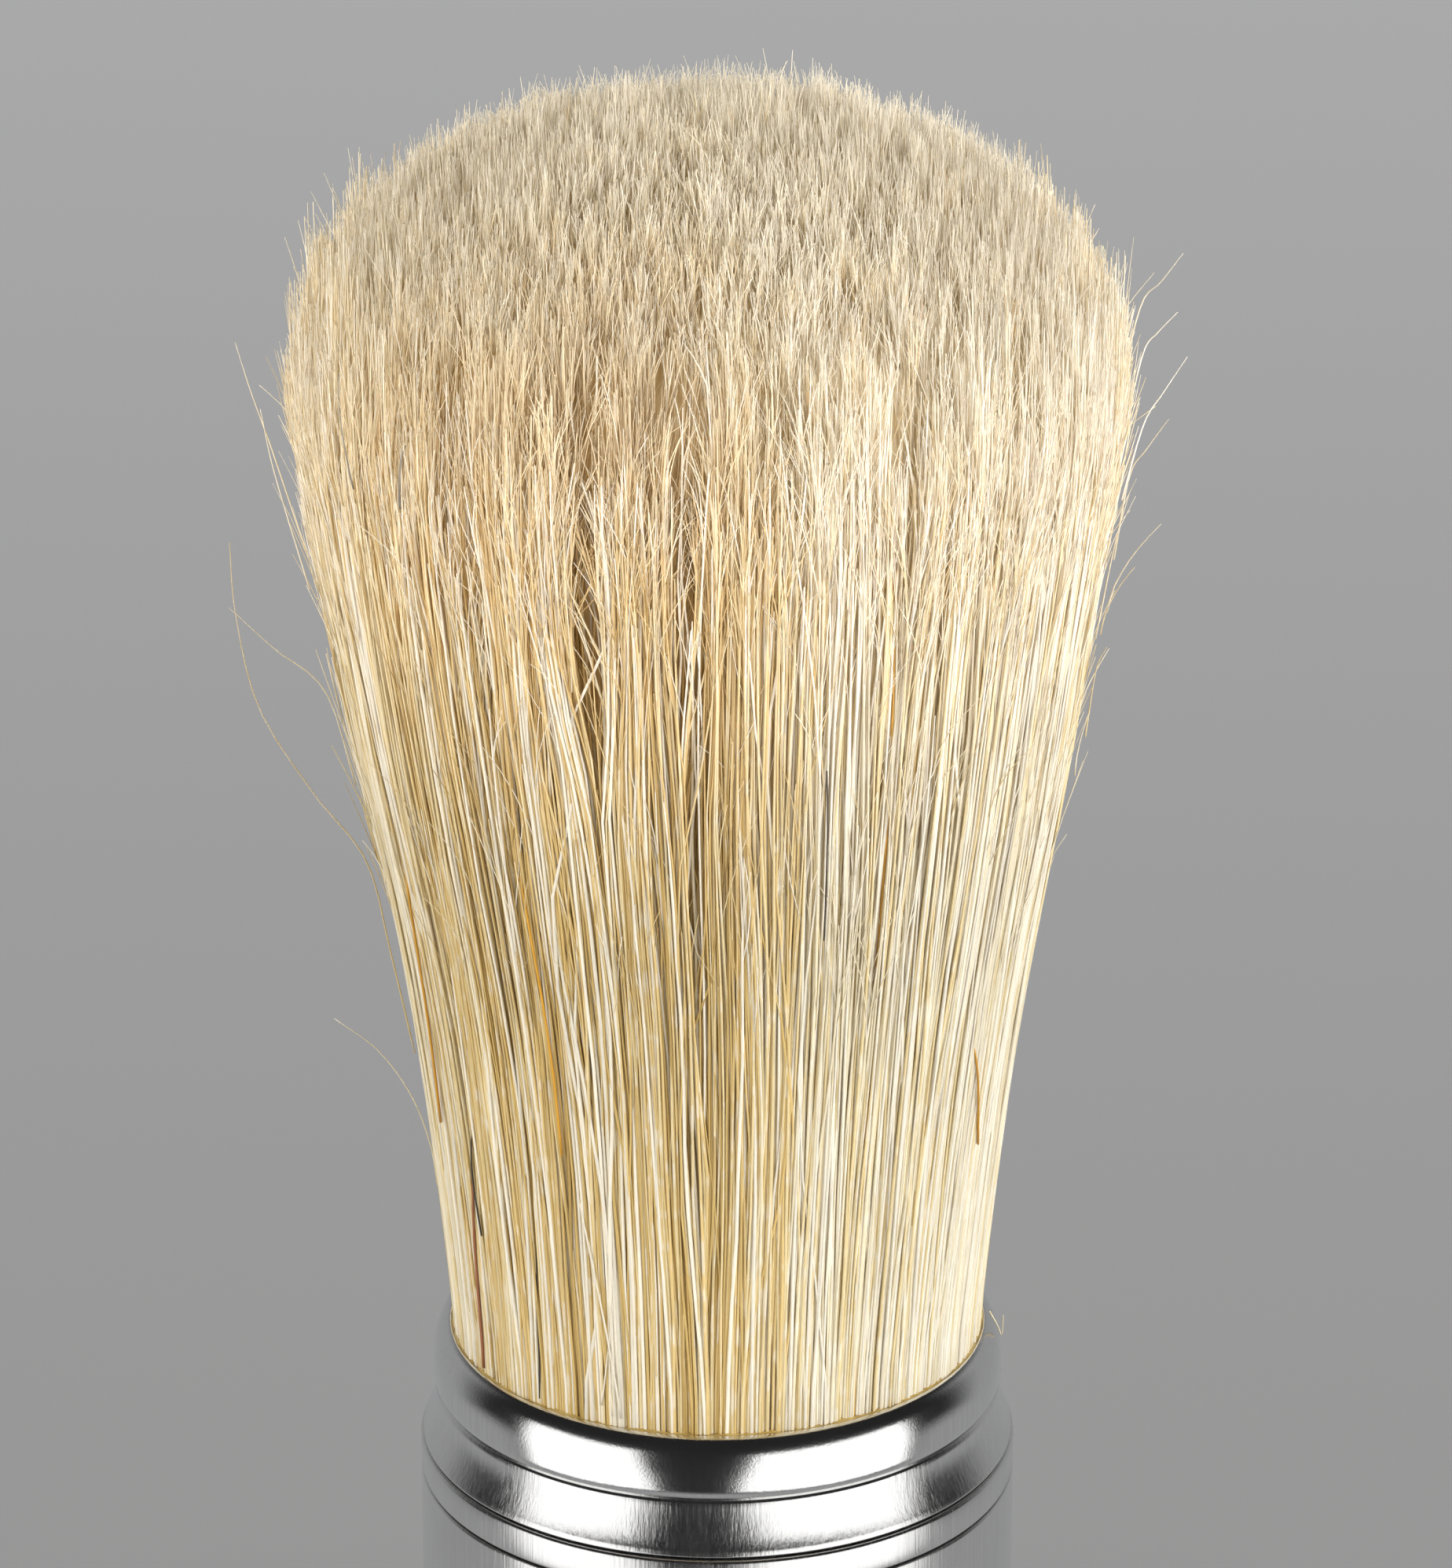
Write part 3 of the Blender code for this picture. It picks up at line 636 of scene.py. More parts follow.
def on_surface(deg0, h0, deg1, h1, kind, lift=0.10, r=0.09, mid=0.0):
    """A bristle that lies on the knot's surface from one angle and height to another."""
    t = np.linspace(0, 1, 7)
    h = h0 + (h1 - h0) * t
    a = np.radians(deg0 + (deg1 - deg0) * t + mid * np.sin(np.pi * t))
    rr = knot_r(h) + lift - 0.35 * t**5
    return single(np.stack([rr * np.sin(a), -rr * np.cos(a), h], 1), kind, r, r * 0.8)


strays = [
    single([(-14.6, -1, 14.5), (-15.7, -1, 19.9), (-16.8, -0.5, 24.4), (-19.3, 0, 27.7), (-21.8, 0, 32.1), (-22.8, 0, 36.9), (-23.0, 0, 40.5)], "straw", 0.055, 0.022, 24),
    single([(-17.2, -1, 28.5), (-18.6, 0, 32.9), (-21.0, 0, 35.1), (-23.1, 0, 37.2)], "pale", 0.045, 0.018),
    single([(-13.6, -1, 7.5), (-13.9, -1, 9.6), (-14.8, -0.5, 12.0), (-16.4, 0, 14.2), (-18.5, 0, 15.9)], "pale", 0.045, 0.020),
    single([(-19.2, -1, 40.0), (-20.9, 0, 45.2), (-21.8, 0, 48.0), (-22.5, 0, 50.5)], "straw", 0.045, 0.018),
    single([(-19.2, -1, 38.5), (-20.8, 0, 44.0), (-21.4, 0, 47.2)], "pale", 0.04, 0.018),
    single([(18.9, -1, 49.0), (19.8, 0, 52.4), (20.7, 0, 53.5), (21.7, 0, 54.9)], "pale", 0.05, 0.018),
    single([(19.0, -1, 46.0), (19.9, 0, 49.9), (20.6, 0, 51.0), (21.5, 0, 52.0)], "white", 0.05, 0.018),
    single([(19.0, -1, 43.0), (20.0, 0, 46.4), (20.9, 0, 48.0), (22.0, 0, 49.8)], "white", 0.055, 0.018),
    single([(18.7, -1, 40.0), (19.4, 0, 43.8), (20.2, 0, 45.2), (21.2, 0, 46.7)], "pale", 0.05, 0.018),
    single([(17.9, -1, 36.0), (18.8, 0, 40.5), (19.4, 0, 42.9)], "pale", 0.045, 0.018),
    single([(17.5, -1, 31.0), (18.0, 0, 34.0), (18.5, 0, 35.2)], "straw", 0.045, 0.018),
    single([(13.3, -1.5, 0.9), (13.7, -1.2, 0.0), (13.92, -1.0, -0.62), (13.98, -1.0, 0.0), (14.0, -1.0, 0.45)], "pale", 0.05, 0.03),
    on_surface(-30.0, 14.5, -32.4, 29.5, "orange", 0.10, 0.085, 0.8),
    on_surface(-66.8, 13.0, -62.2, 28.0, "orange", 0.10, 0.085, 1.0),
    on_surface(60.5, 12.5, 54.5, 18.5, "orange", 0.10, 0.08),
    on_surface(-60.2, 0.3, -56.4, 12.0, "red", 0.10, 0.085, -0.5),
    on_surface(-55.4, 8.0, -55.0, 14.0, "dark", 0.04, 0.05, -0.8),
    on_surface(-41.2, 0.3, -39.4, 9.0, "dark", 0.03, 0.055, 0.3),
    on_surface(17.2, 27.0, 16.2, 36.0, "dark", 0.06, 0.05),
    on_surface(-55.2, 47.5, -60.0, 52.5, "dark", 0.3, 0.045),
    on_surface(-45.6, 47.5, -45.4, 50.5, "dark", 0.2, 0.06),
    on_surface(-20.5, 0.5, -28.0, 13.0, "white", 0.14, 0.065, 0.4),
    on_surface(-22.5, 0.5, -21.5, 9.0, "pale", 0.10, 0.065, -0.6),
    on_surface(-25.0, 1.0, -20.5, 8.5, "white", 0.12, 0.06, 0.3),
    on_surface(120.0, 6.0, 117.0, 24.0, "orange", 0.10, 0.085, 0.8),
    on_surface(168.0, 2.0, 172.0, 17.0, "red", 0.10, 0.08, 0.6),
    on_surface(-128.0, 3.0, -131.0, 15.0, "dark", 0.10, 0.08, 0.6),
]
for _ in range(90):  # flyaway ends all round, mostly at the bulb
    a = rng.uniform(-np.pi, np.pi)
    h = 55.0 - 31.0 * rng.random() ** 1.4
    L = rng.uniform(2.0, 6.5)
    tilt = rng.uniform(0.18, 0.60)
    side = rng.normal(0, 0.25)
    base_r = float(knot_r(min(h, 46.0)) * (1 if h < 48 else np.sqrt(max(0.05, 1 - ((h - 48) / DOME_H) ** 2)))) - 0.4
    pts = []
    for t in np.linspace(0, 1, 5):
        rr = base_r + L * tilt * t**1.6
        aa = a + side * L * t**2 / 20.0
        pts.append((rr * math.sin(aa), -rr * math.cos(aa), h - 2.0 + L * t * math.cos(tilt)))
    strays.append(single(pts, "pale" if rng.random() < 0.7 else "straw", 0.042, 0.017, 8))
stray = tube_object("stray_bristles", strays)
assign(stray, MAT_BRISTLE)
blend_knot(stray)

# ---------------------------------------------------------------- the middle of the knot, built here, seen only deep between the bristles
core_th = 2 * np.pi * np.arange(480) / 480
rows, row_h = [], []
for h in np.concatenate([[-3.2], np.arange(-1, 47.1, 1.5)]):
    cut = np.zeros(480)
    for ang, half, reach, h0, h1 in CLEFTS:
        d = wrap(core_th - math.radians(ang)) * float(knot_r(h))
        cut += half * 0.8 * np.exp(-(d / (0.55 + half)) ** 2) * float(smooth(h, h0, h0 + 9) * (1 - smooth(h, h1 - 7, h1)))
    under = 0.42 + 0.62 * float(smooth(h, 16, 42)) - 0.16 * np.maximum(np.cos(core_th - math.radians(52)), 0.0) ** 2 + 0.08 * np.sin(core_th * 37) * np.sin(core_th * 11 + 1)
    r = float(knot_r(h)) * (EDGE_Q + 0.015 * (1 - float(smooth(h, 2, 24))) - under / 13.0) - cut * float(knot_r(h)) / 17.0
    rows.append(np.stack([r * np.sin(core_th) + float(lean(h)), -r * np.cos(core_th), np.full(480, RIM + h)], 1))
    row_h.append(h)
for qq in (0.985, 0.95, 0.9, 0.83, 0.74, 0.62, 0.48, 0.32, 0.16):
    r = R_TOP * (EDGE_Q - 1.25 / 13.0) * qq
    h = 47.0 + (DOME_H - 1.6) * (1 - qq**DOME_N) ** (1 / DOME_N)
    rows.append(np.stack([r * np.sin(core_th) + float(lean(h)), -r * np.cos(core_th), np.full(480, RIM + h)], 1))
    row_h.append(h)
m, n_c = len(rows), 480
verts = np.concatenate(rows + [[[0, 0, RIM - 3.2]], [[float(lean(60)), 0, RIM + 47.0 + DOME_H - 1.6]]])
uv_loops, loops, starts = [], [], []
i, j = np.meshgrid(np.arange(m - 1), np.arange(n_c), indexing="ij")
quads = np.stack([i * n_c + j, i * n_c + (j + 1) % n_c, (i + 1) * n_c + (j + 1) % n_c, (i + 1) * n_c + j], 2).reshape(-1, 4)
vv = np.array([v_of(h) for h in row_h])
uq = np.stack([np.stack([j / n_c, vv[i]], 2), np.stack([(j + 1) / n_c, vv[i]], 2), np.stack([(j + 1) / n_c, vv[i + 1]], 2),
               np.stack([j / n_c, vv[i + 1]], 2)], 2).reshape(-1, 2)
jj = np.arange(n_c)
bot = np.stack([np.full(n_c, m * n_c), (jj + 1) % n_c, jj], 1)
top = np.stack([np.full(n_c, m * n_c + 1), (m - 1) * n_c + jj, (m - 1) * n_c + (jj + 1) % n_c], 1)
ub = np.stack([np.stack([(jj + 0.5) / n_c, np.full(n_c, 0.001)], 1), np.stack([(jj + 1) / n_c, np.full(n_c, vv[0])], 1), np.stack([jj / n_c, np.full(n_c, vv[0])], 1)], 1).reshape(-1, 2)
ut = np.stack([np.stack([(jj + 0.5) / n_c, np.full(n_c, 0.999)], 1), np.stack([jj / n_c, np.full(n_c, vv[-1])], 1), np.stack([(jj + 1) / n_c, np.full(n_c, vv[-1])], 1)], 1).reshape(-1, 2)
core = raw_mesh("knot_core", verts, np.concatenate([quads.ravel(), bot.ravel(), top.ravel()]),
                np.concatenate([np.arange(len(quads)) * 4, len(quads) * 4 + np.arange(2 * n_c) * 3]))
layer = core.data.uv_layers.new(name="OFBake")
layer.data.foreach_set("uv", np.concatenate([uq, ub, ut]).astype(np.float32).ravel())
mc = Mat("bristle_core")
uvn = mc.node("ShaderNodeUVMap", uv_map="OFBake")
mp = mc.node("ShaderNodeMapping")
mp.inputs["Scale"].default_value = (620, 9, 1)
mc.link(uvn.outputs[0], mp.inputs["Vector"])
streak = mc.noise(mp.outputs[0], 1.0, 3.0, 0.62)
sep = mc.node("ShaderNodeSeparateXYZ")
mc.link(uvn.outputs[0], sep.inputs[0])
high = mc.node("ShaderNodeMapRange", interpolation_type="SMOOTHSTEP")
high.inputs["From Min"].default_value = float(v_of(20.0))
high.inputs["From Max"].default_value = float(v_of(52.0))
mc.link(sep.outputs[1], high.inputs["Value"])
low_c = mc.ramp(streak, [(0.28, (0.62, 0.43, 0.14)), (0.48, (0.78, 0.58, 0.24)), (0.68, (0.90, 0.74, 0.40))])
high_c = mc.ramp(streak, [(0.28, (0.56, 0.38, 0.15)), (0.48, (0.74, 0.54, 0.25)), (0.68, (0.90, 0.74, 0.46))])
# painted light: the core turns pale cream towards the front right, where the key light falls
turn = mc.math("MULTIPLY", mc.math("SUBTRACT", sep.outputs[0], 0.145), 2 * math.pi)
right = mc.math("MULTIPLY", mc.math("POWER", mc.math("MAXIMUM", mc.math("COSINE", turn), 0.0), 2.0), 0.75)
mc.set("Base Color", mc.mix(right, mc.mix(high.outputs[0], low_c, high_c), (0.93, 0.86, 0.70)))
mc.set("Roughness", mc.math("ADD", mc.math("MULTIPLY", streak, 0.3), 0.5))
mc.bump(streak, 0.7, 0.0002)
assign(core, mc.m)
blend_knot(core)

# ---------------------------------------------------------------- metal
def metal(name, lip=False, rough=0.20, tint=(0.83, 0.825, 0.81)):
    """Turned aluminium: fine lines along the axis, faint blotches of wear, and a polished grainy lip where asked."""
    m = Mat(name)
    lines = m.noise(m.coords(6000, 6000, 120), 1.0, 4.0, 0.62)
    broad = m.noise(m.coords(900, 900, 60), 1.0, 3.0, 0.6)
    grain = m.noise(m.coords(8500, 8500, 8500), 1.0, 3.0, 0.6)
    blot = m.noise(m.coords(160, 160, 160), 1.0, 4.0, 0.6)
    shade = m.math("ADD", m.math("MULTIPLY", lines, 0.16), m.math("MULTIPLY", blot, 0.10))
    base = m.ramp(shade, [(0.05, tuple(c * 0.80 for c in tint)), (0.20, tint)])
    r_line = m.math("ADD", m.math("MULTIPLY", lines, 0.16), m.math("MULTIPLY", broad, 0.12))
    r_line = m.math("ADD", r_line, rough - 0.12)
    height = m.math("ADD", m.math("MULTIPLY", lines, 0.7), m.math("MULTIPLY", broad, 0.3))
    if lip:
        z = m.node("ShaderNodeSeparateXYZ")
        c = m.node("ShaderNodeTexCoord")
        m.link(c.outputs["Object"], z.inputs[0])
        mask = m.node("ShaderNodeMapRange", interpolation_type="SMOOTHSTEP")
        mask.inputs["From Min"].default_value = (RIM - 3.25) * MM
        mask.inputs["From Max"].default_value = (RIM - 2.95) * MM
        m.link(z.outputs[2], mask.inputs["Value"])
        r_lip = m.math("ADD", m.math("MULTIPLY", grain, 0.10), m.math("MULTIPLY", blot, 0.06))
        r_lip = m.math("ADD", r_lip, 0.07)
        mixr = m.node("ShaderNodeMix", data_type="FLOAT")
        m.link(mask.outputs[0], mixr.inputs[0])
        m.link(r_line, mixr.inputs[2])
        m.link(r_lip, mixr.inputs[3])
        mixh = m.node("ShaderNodeMix", data_type="FLOAT")
        m.link(mask.outputs[0], mixh.inputs[0])
        m.link(height, mixh.inputs[2])
        m.link(m.math("MULTIPLY", grain, 0.30), mixh.inputs[3])
        r_line, height = mixr.outputs[0], mixh.outputs[0]
    m.set("Base Color", base)
    m.set("Metallic", 1.0)
    m.set("Roughness", r_line)
    m.bump(height, 0.55, 0.00003)
    return m.m


MAT_LIP = metal("polished_metal", lip=True, rough=0.19)
MAT_BODY = metal("brushed_metal", rough=0.22, tint=(0.80, 0.795, 0.78))

# ferrule: a rounded lip, a plain band, a crease, a concave flare and the seam
LIP_R, BORE_R, FLARE_R, SPIGOT_R = 13.95, 13.0, 14.48, 12.70
prof = [(BORE_R, RIM - 0.20)] + arc(13.08, RIM - 0.2, 0.08, 0.2, 180, 90, 4)[1:]
prof += arc(13.08, RIM - 2.00, LIP_R - 13.08, 2.00, 90, 0, 26)[1:]
prof += [(LIP_R, RIM - 2.5), (LIP_R - 0.015, RIM - 2.68), (LIP_R - 0.06, RIM - 2.86), (LIP_R - 0.14, RIM - 3.00), (LIP_R - 0.20, RIM - 3.08), (LIP_R - 0.21, RIM - 3.13),
         (LIP_R - 0.15, RIM - 3.18), (LIP_R - 0.10, RIM - 3.25)]
z_top, z_bot = RIM - 3.25, SEAM + 0.12
for i in range(1, 13):
    t = i / 12
    prof.append((LIP_R - 0.09 + (FLARE_R - LIP_R + 0.09) * t**1.9, z_top + (z_bot - z_top) * t))
prof += [(FLARE_R, SEAM + 0.07), (FLARE_R - 0.03, SEAM + 0.02), (FLARE_R - 0.08, SEAM)]
prof += [(SPIGOT_R + 0.02, SEAM), (SPIGOT_R, SEAM - 0.05), (SPIGOT_R, 31.5), (SPIGOT_R - 0.5, 31.0), (4.3, 31.0), (4.3, 33.0), (11.9, 33.0),
         (11.9, 45.0), (BORE_R, 45.7)]
prof = prof[1:] + prof[:1]  # start on the lip, so the loop runs down the outside and up the bore
ferrule = lathe("ferrule_shell", prof, 256)
assign(ferrule, MAT_LIP)
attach(ferrule, "knot_holder")
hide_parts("ferrule")

# trim ring between the two fine seams
b_lo, b_hi = [c.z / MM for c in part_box("trim_ring")]
rr = 14.60
b_hi, b_lo = b_hi + 0.14, b_lo - 0.17
prof = [(14.05, b_hi), (rr - 0.20, b_hi), (rr - 0.10, b_hi - 0.02), (rr - 0.03, b_hi - 0.08), (rr, b_hi - 0.18), (rr, b_lo + 0.10),
        (rr - 0.02, b_lo + 0.04), (rr - 0.06, b_lo + 0.01), (rr - 0.10, b_lo), (14.05, b_lo)]
ring = lathe("trim_band", prof, 256)
assign(ring, MAT_BODY)
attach(ring, "handle")
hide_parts("trim_ring")

# handle
def hermite(points, z):
    z0 = np.array([p[0] for p in points])
    r0 = np.array([p[1] for p in points])
    d = np.gradient(r0, z0)
    d[0] = (r0[1] - r0[0]) / (z0[1] - z0[0])
    d[-1] = (r0[-1] - r0[-2]) / (z0[-1] - z0[-2])
    i = int(np.clip(np.searchsorted(z0, z, side="right") - 1, 0, len(z0) - 2))
    w = z0[i + 1] - z0[i]
    t = (z - z0[i]) / w
    return ((2 * t**3 - 3 * t**2 + 1) * r0[i] + (t**3 - 2 * t**2 + t) * w * d[i] + (-2 * t**3 + 3 * t**2) * r0[i + 1] + (t**3 - t**2) * w * d[i + 1])


HANDLE = [(4.4, 16.2), (6.0, 16.18), (9.5, 15.15), (14.5, 13.25), (20.5, 12.35), (26.5, 12.95), (32.0, 14.15), (35.8, 14.6), (39.0, 14.6), (42.25, 14.6)]
h_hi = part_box("handle_body")[1].z / MM
prof = [(13.75, h_hi), (13.75, 42.25), (14.50, 42.25), (14.56, 42.23), (14.59, 42.18), (14.6, 42.1), (14.6, 39.0), (14.6, 36.2)]
prof += [(hermite(HANDLE, z), z) for z in np.arange(35.6, 5.4, -0.8)]
prof += [(16.18, 5.0), (16.12, 4.65), (16.0, 4.47), (15.85, 4.4), (13.6, 4.4), (13.6, 7.4), (11.6, 7.9), (11.6, 13.0), (6.8, 13.0), (6.8, 29.3),
         (13.0, 29.3), (13.0, h_hi)]
body = lathe("handle_shell", prof, 256)
assign(body, MAT_BODY)
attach(body, "handle")
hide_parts("handle_body")

c_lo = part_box("base_cap")[0].z / MM
prof = [(13.2, 6.6), (13.3, 6.5), (13.3, 3.5), (15.9, 3.5), (16.06, 3.46), (16.16, 3.36), (16.2, 3.2), (16.2, 2.0), (16.16, 1.6), (16.02, 1.2), (15.8, 0.88),
        (15.5, 0.66), (15.2, c_lo), (14.8, c_lo), (14.8, 1.35), (3.9, 1.35), (3.9, 2.2), (2.35, 3.75), (2.35, 6.6)]
cap = lathe("base_cover", prof, 256)
assign(cap, MAT_BODY)
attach(cap, "handle")
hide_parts("base_cap")

# ---------------------------------------------------------------- amber resin round the mouth
n_th, prof_n = 360, 7
th = 2 * np.pi * np.arange(n_th) / n_th
wob = 0.05 * np.sin(th * 17 + 1) + 0.04 * np.sin(th * 41 + 2) + 0.03 * np.sin(th * 73 + 0.5)
rows = []
for (r, z, k) in ((12.99, 46.7, 0), (12.99, RIM - 0.30, 0), (13.05, RIM - 0.05, 0.3), (12.98, RIM + 0.0, 0.7), (12.85, RIM + 0.03, 1.0), (12.55, RIM - 0.05, 0.5), (12.35, 46.7, 0)):
    rows.append(np.stack([(r - 0.3 * k * wob) * np.cos(th), (r - 0.3 * k * wob) * np.sin(th), z + k * wob], 1))
verts = np.concatenate(rows)
i, j = np.meshgrid(np.arange(prof_n), np.arange(n_th), indexing="ij")
# profile given up the outer side, so the faces are wound the other way round
quads = np.stack([i * n_th + (j + 1) % n_th, ((i + 1) % prof_n) * n_th + (j + 1) % n_th, ((i + 1) % prof_n) * n_th + j, i * n_th + j], 2).reshape(-1, 4)
meniscus = raw_mesh("resin_meniscus", verts, quads.ravel(), np.arange(len(quads)) * 4)
mr = Mat("amber_resin")
cloud = mr.noise(mr.coords(1500, 1500, 1500), 1.0, 3.0, 0.6)
mr.set("Base Color", mr.ramp(cloud, [(0.3, (0.30, 0.19, 0.045)), (0.7, (0.52, 0.38, 0.13))]))
mr.set("Roughness", mr.math("ADD", mr.math("MULTIPLY", cloud, 0.25), 0.08))
mr.set("Coat Weight", 0.3)
mr.bump(cloud, 0.25, 0.00005)
assign(meniscus, mr.m)
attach(meniscus, "knot_holder")
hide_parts("resin_ring")

# ---------------------------------------------------------------- inner pieces carried over from the CAD
def simple(name, low, high, rough, metallic=0.0, scale=(900, 900, 900), bump=0.3, dist=0.00003, lines=False):
    m = Mat(name)
    f = m.noise(m.coords(*scale), 1.0, 4.0, 0.6)
    m.set("Base Color", m.ramp(f, [(0.3, low), (0.7, high)]))
    m.set("Roughness", m.math("ADD", m.math("MULTIPLY", f, 0.25), rough - 0.12))
    m.set("Metallic", metallic)
    m.bump(f, bump, dist)
    return m.m


steel = simple("steel_turned", (0.42, 0.43, 0.45), (0.62, 0.63, 0.65), 0.32, 1.0, (400, 400, 9000))
brass = simple("brass_turned", (0.62, 0.45, 0.18), (0.80, 0.62, 0.30), 0.30, 1.0, (400, 400, 9000))
rubber = simple("rubber_black", (0.018, 0.018, 0.018), (0.045, 0.045, 0.043), 0.75, 0.0, (2600, 2600, 2600), 0.5, 0.00005)
nylon = simple("nylon_natural", (0.80, 0.78, 0.71), (0.90, 0.89, 0.84), 0.48, 0.0, (1200, 1200, 1200))
thread = simple("binding_thread", (0.62, 0.54, 0.38), (0.86, 0.80, 0.66), 0.85, 0.0, (2500, 2500, 9000), 0.9, 0.0001)
for n, mat in {"knot_stud": steel, "stud_nut": steel, "stud_washer": steel, "handle_weight": steel, "weight_washer": steel, "base_screw": steel,
               "thread_insert": brass, "seal_washer": rubber, "base_gasket": rubber, "foot_pad": rubber, "knot_cup": nylon, "root_binding": thread,
               "resin_bed": mr.m}.items():
    assign(nodes[n], mat)

# ---------------------------------------------------------------- floor, light and camera
def plane(name, size, loc):
    s = size / 2
    me = bpy.data.meshes.new(name)
    me.from_pydata([(-s, -s, 0), (s, -s, 0), (s, s, 0), (-s, s, 0)], [], [(0, 1, 2, 3)])
    ob = bpy.data.objects.new(name, me)
    ob.location = loc
    bpy.context.scene.collection.objects.link(ob)
    return ob


floor = plane("floor", 30.0, (0, 0, -0.0002))
mf = Mat("floor_grey")
soft = mf.noise(mf.coords(1.2, 1.2, 1.2), 1.0, 2.0, 0.5)
mf.set("Base Color", mf.ramp(soft, [(0.3, (0.315, 0.315, 0.315)), (0.7, (0.335, 0.335, 0.335))]))
mf.set("Roughness", 0.85)
mf.set("Specular IOR Level", 0.1)
assign(floor, mf.m)
floor.visible_glossy = False
floor.visible_shadow = False

# surroundings seen in the metal: dark in front and overhead, grey backdrop to the sides, behind and far below
world = bpy.data.worlds.new("studio")
world.use_nodes = True
wt = world.node_tree
tc = wt.nodes.new("ShaderNodeTexCoord")
sp = wt.nodes.new("ShaderNodeSeparateXYZ")
wt.links.new(tc.outputs["Generated"], sp.inputs[0])


def wstep(socket, lo, hi):
    n = wt.nodes.new("ShaderNodeMapRange")
    n.interpolation_type = "SMOOTHSTEP"
    n.inputs["From Min"].default_value, n.inputs["From Max"].default_value = min(lo, hi), max(lo, hi)
    if lo > hi:
        n.inputs["To Min"].default_value, n.inputs["To Max"].default_value = 1.0, 0.0
    wt.links.new(socket, n.inputs["Value"])
    return n.outputs[0]


def wmath(op, a, b):
    n = wt.nodes.new("ShaderNodeMath")
    n.operation = op
    for k, v in enumerate((a, b)):
        if isinstance(v, (int, float)):
            n.inputs[k].default_value = v
        else:
            wt.links.new(v, n.inputs[k])
    return n.outputs[0]


behind = wmath("MAXIMUM", wmath("MULTIPLY", wstep(sp.outputs[1], -0.35, 0.15), wstep(sp.outputs[2], -0.12, -0.38)),
               wmath("MULTIPLY", wstep(sp.outputs[1], 0.15, 0.60), wstep(sp.outputs[2], 0.70, 0.35)))
around = wmath("MAXIMUM", behind, wstep(sp.outputs[2], -0.60, -0.80))
seen = wmath("ADD", wmath("MULTIPLY", around, 0.34), 0.020)
ray = wt.nodes.new("ShaderNodeLightPath").outputs["Is Camera Ray"]  # plain grey above the floor's horizon
wt.links.new(wmath("ADD", wmath("MULTIPLY", ray, wmath("SUBTRACT", 0.208, seen)), seen), wt.nodes["Background"].inputs[1])
wt.nodes["Background"].inputs[0].default_value = (0.97, 0.98, 1.0, 1)
bpy.context.scene.world = world


def softbox(name, az, el, dist, w, h, power, colour=(1, 1, 1), target=(0, 0, 0.075), spread=180):
    """A rectangular studio light. az is degrees from the front, + to the right; el above the horizon."""
    d = bpy.data.lights.new(name, "AREA")
    d.shape = "RECTANGLE"
    d.size, d.size_y = w, h
    d.energy = power
    d.color = colour
    d.spread = math.radians(spread)
    o = bpy.data.objects.new(name, d)
    a, e = math.radians(az), math.radians(el)
    back = np.array([math.sin(a) * math.cos(e), -math.cos(a) * math.cos(e), math.sin(e)])
    o.location = np.array(target) + back * dist
    from mathutils import Vector
    o.rotation_mode = "QUATERNION"
    o.rotation_quaternion = Vector(tuple(-back)).to_track_quat("-Z", "Y")
    o.visible_camera = False
    bpy.context.scene.collection.objects.link(o)
    return o


# the floor has lights of its own, so that it stays plain from every side
floor_only = bpy.data.collections.new("floor_only")
floor_only.objects.link(floor)
all_but_floor = bpy.data.collections.new("all_but_floor")
all_but_floor.objects.link(floor)
all_but_floor.collection_objects[0].light_linking.link_state = "EXCLUDE"

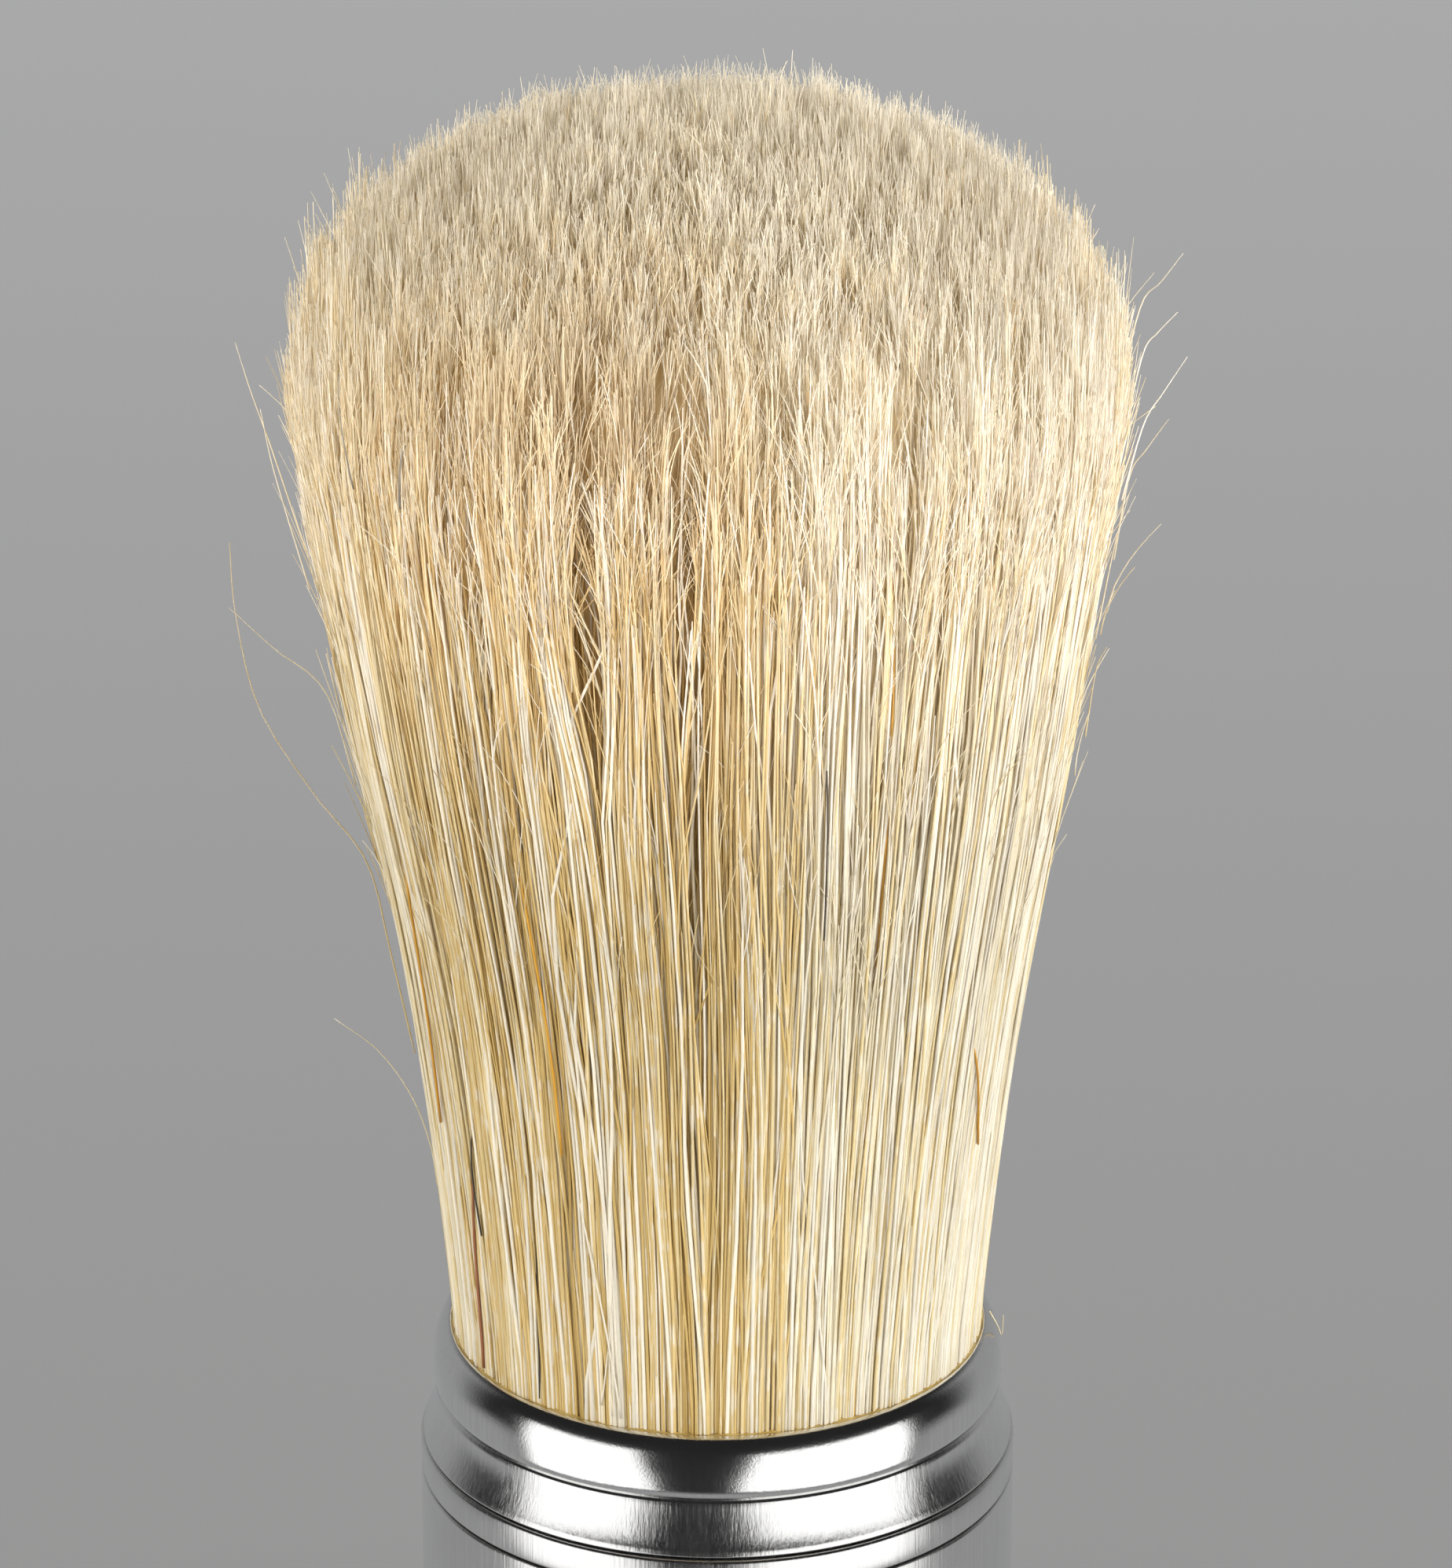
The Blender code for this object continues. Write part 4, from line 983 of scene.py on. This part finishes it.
FER = (0, 0, 0.045)
softbox("softbox_left", -54, -14.5, 0.75, 0.70, 0.80, 2.6, target=FER).light_linking.receiver_collection = all_but_floor
softbox("softbox_right", 46, -14.5, 0.75, 0.98, 0.80, 3.7, target=FER).light_linking.receiver_collection = all_but_floor
for name, az, el, dist, w, h, power, tgt, spread, on in (
        ("fill_left", -72, 11, 0.50, 0.6, 0.36, 2.90, (0, 0, 0.112), 180, all_but_floor),
        ("fill_right", 63, 10, 0.50, 0.66, 0.36, 3.95, (0, 0, 0.112), 180, all_but_floor),
        ("fill_front", 6, 8, 0.75, 0.5, 0.4, 1.15, (0, 0, 0.105), 180, all_but_floor),
        ("fill_back", 178, 8, 0.80, 0.8, 0.5, 3.6, (0, 0, 0.080), 180, all_but_floor),
        ("backdrop_light", 180, 78, 0.85, 1.6, 0.5, 2.46, (0, 0.47, 0), 85, floor_only)):
    lamp = softbox(name, az, el, dist, w, h, power, target=tgt, spread=spread)
    lamp.visible_glossy = False
    lamp.light_linking.receiver_collection = on

sun = bpy.data.objects.new("floor_light", bpy.data.lights.new("floor_light", "SUN"))
sun.data.energy, sun.data.angle = 1.95, math.radians(60)
sun.location = (0, 0, 2)
sun.light_linking.receiver_collection = floor_only
bpy.context.scene.collection.objects.link(sun)

# bristles pass light on to each other: a golden light that they don't block stands for it
bristles_only = bpy.data.collections.new("bristles_only")
for ob in knot + [stray, core]:
    bristles_only.objects.link(ob)
for name, az, power, colour in (("glow_left", -62, 1.75, (1.0, 0.745, 0.33)), ("glow_front", 4, 1.0, (1.0, 0.745, 0.33)),
                                ("glow_right", 80, 0.9, (1.0, 0.80, 0.48)), ("glow_back", 178, 1.6, (1.0, 0.75, 0.35))):
    lamp = softbox(name, az, 6, 1.0, 0.8, 0.6, power, colour, (0, 0, 0.085))
    lamp.visible_glossy = False
    lamp.light_linking.receiver_collection = bristles_only
    lamp.light_linking.blocker_collection = floor_only

# camera: at the picture's viewing angle, about 0.4 m away
E0 = math.radians(22.61)
DIST = 0.400
F_PX = 10662.0
target = np.array([0.00043, 0.0, (RIM + 28.16) * MM])
cam_d = bpy.data.cameras.new("camera")
cam_d.sensor_width = 36.0
cam_d.sensor_fit = "AUTO"
cam_d.lens = F_PX / 1995.0 * 36.0
cam_d.clip_start, cam_d.clip_end = 0.01, 50
cam = bpy.data.objects.new("camera", cam_d)
cam.location = target + DIST * np.array([0, -math.cos(E0), math.sin(E0)])
cam.rotation_euler = (math.pi / 2 - E0, 0, 0)
bpy.context.scene.collection.objects.link(cam)
bpy.context.scene.camera = cam
bpy.context.scene.view_settings.view_transform = "Standard"
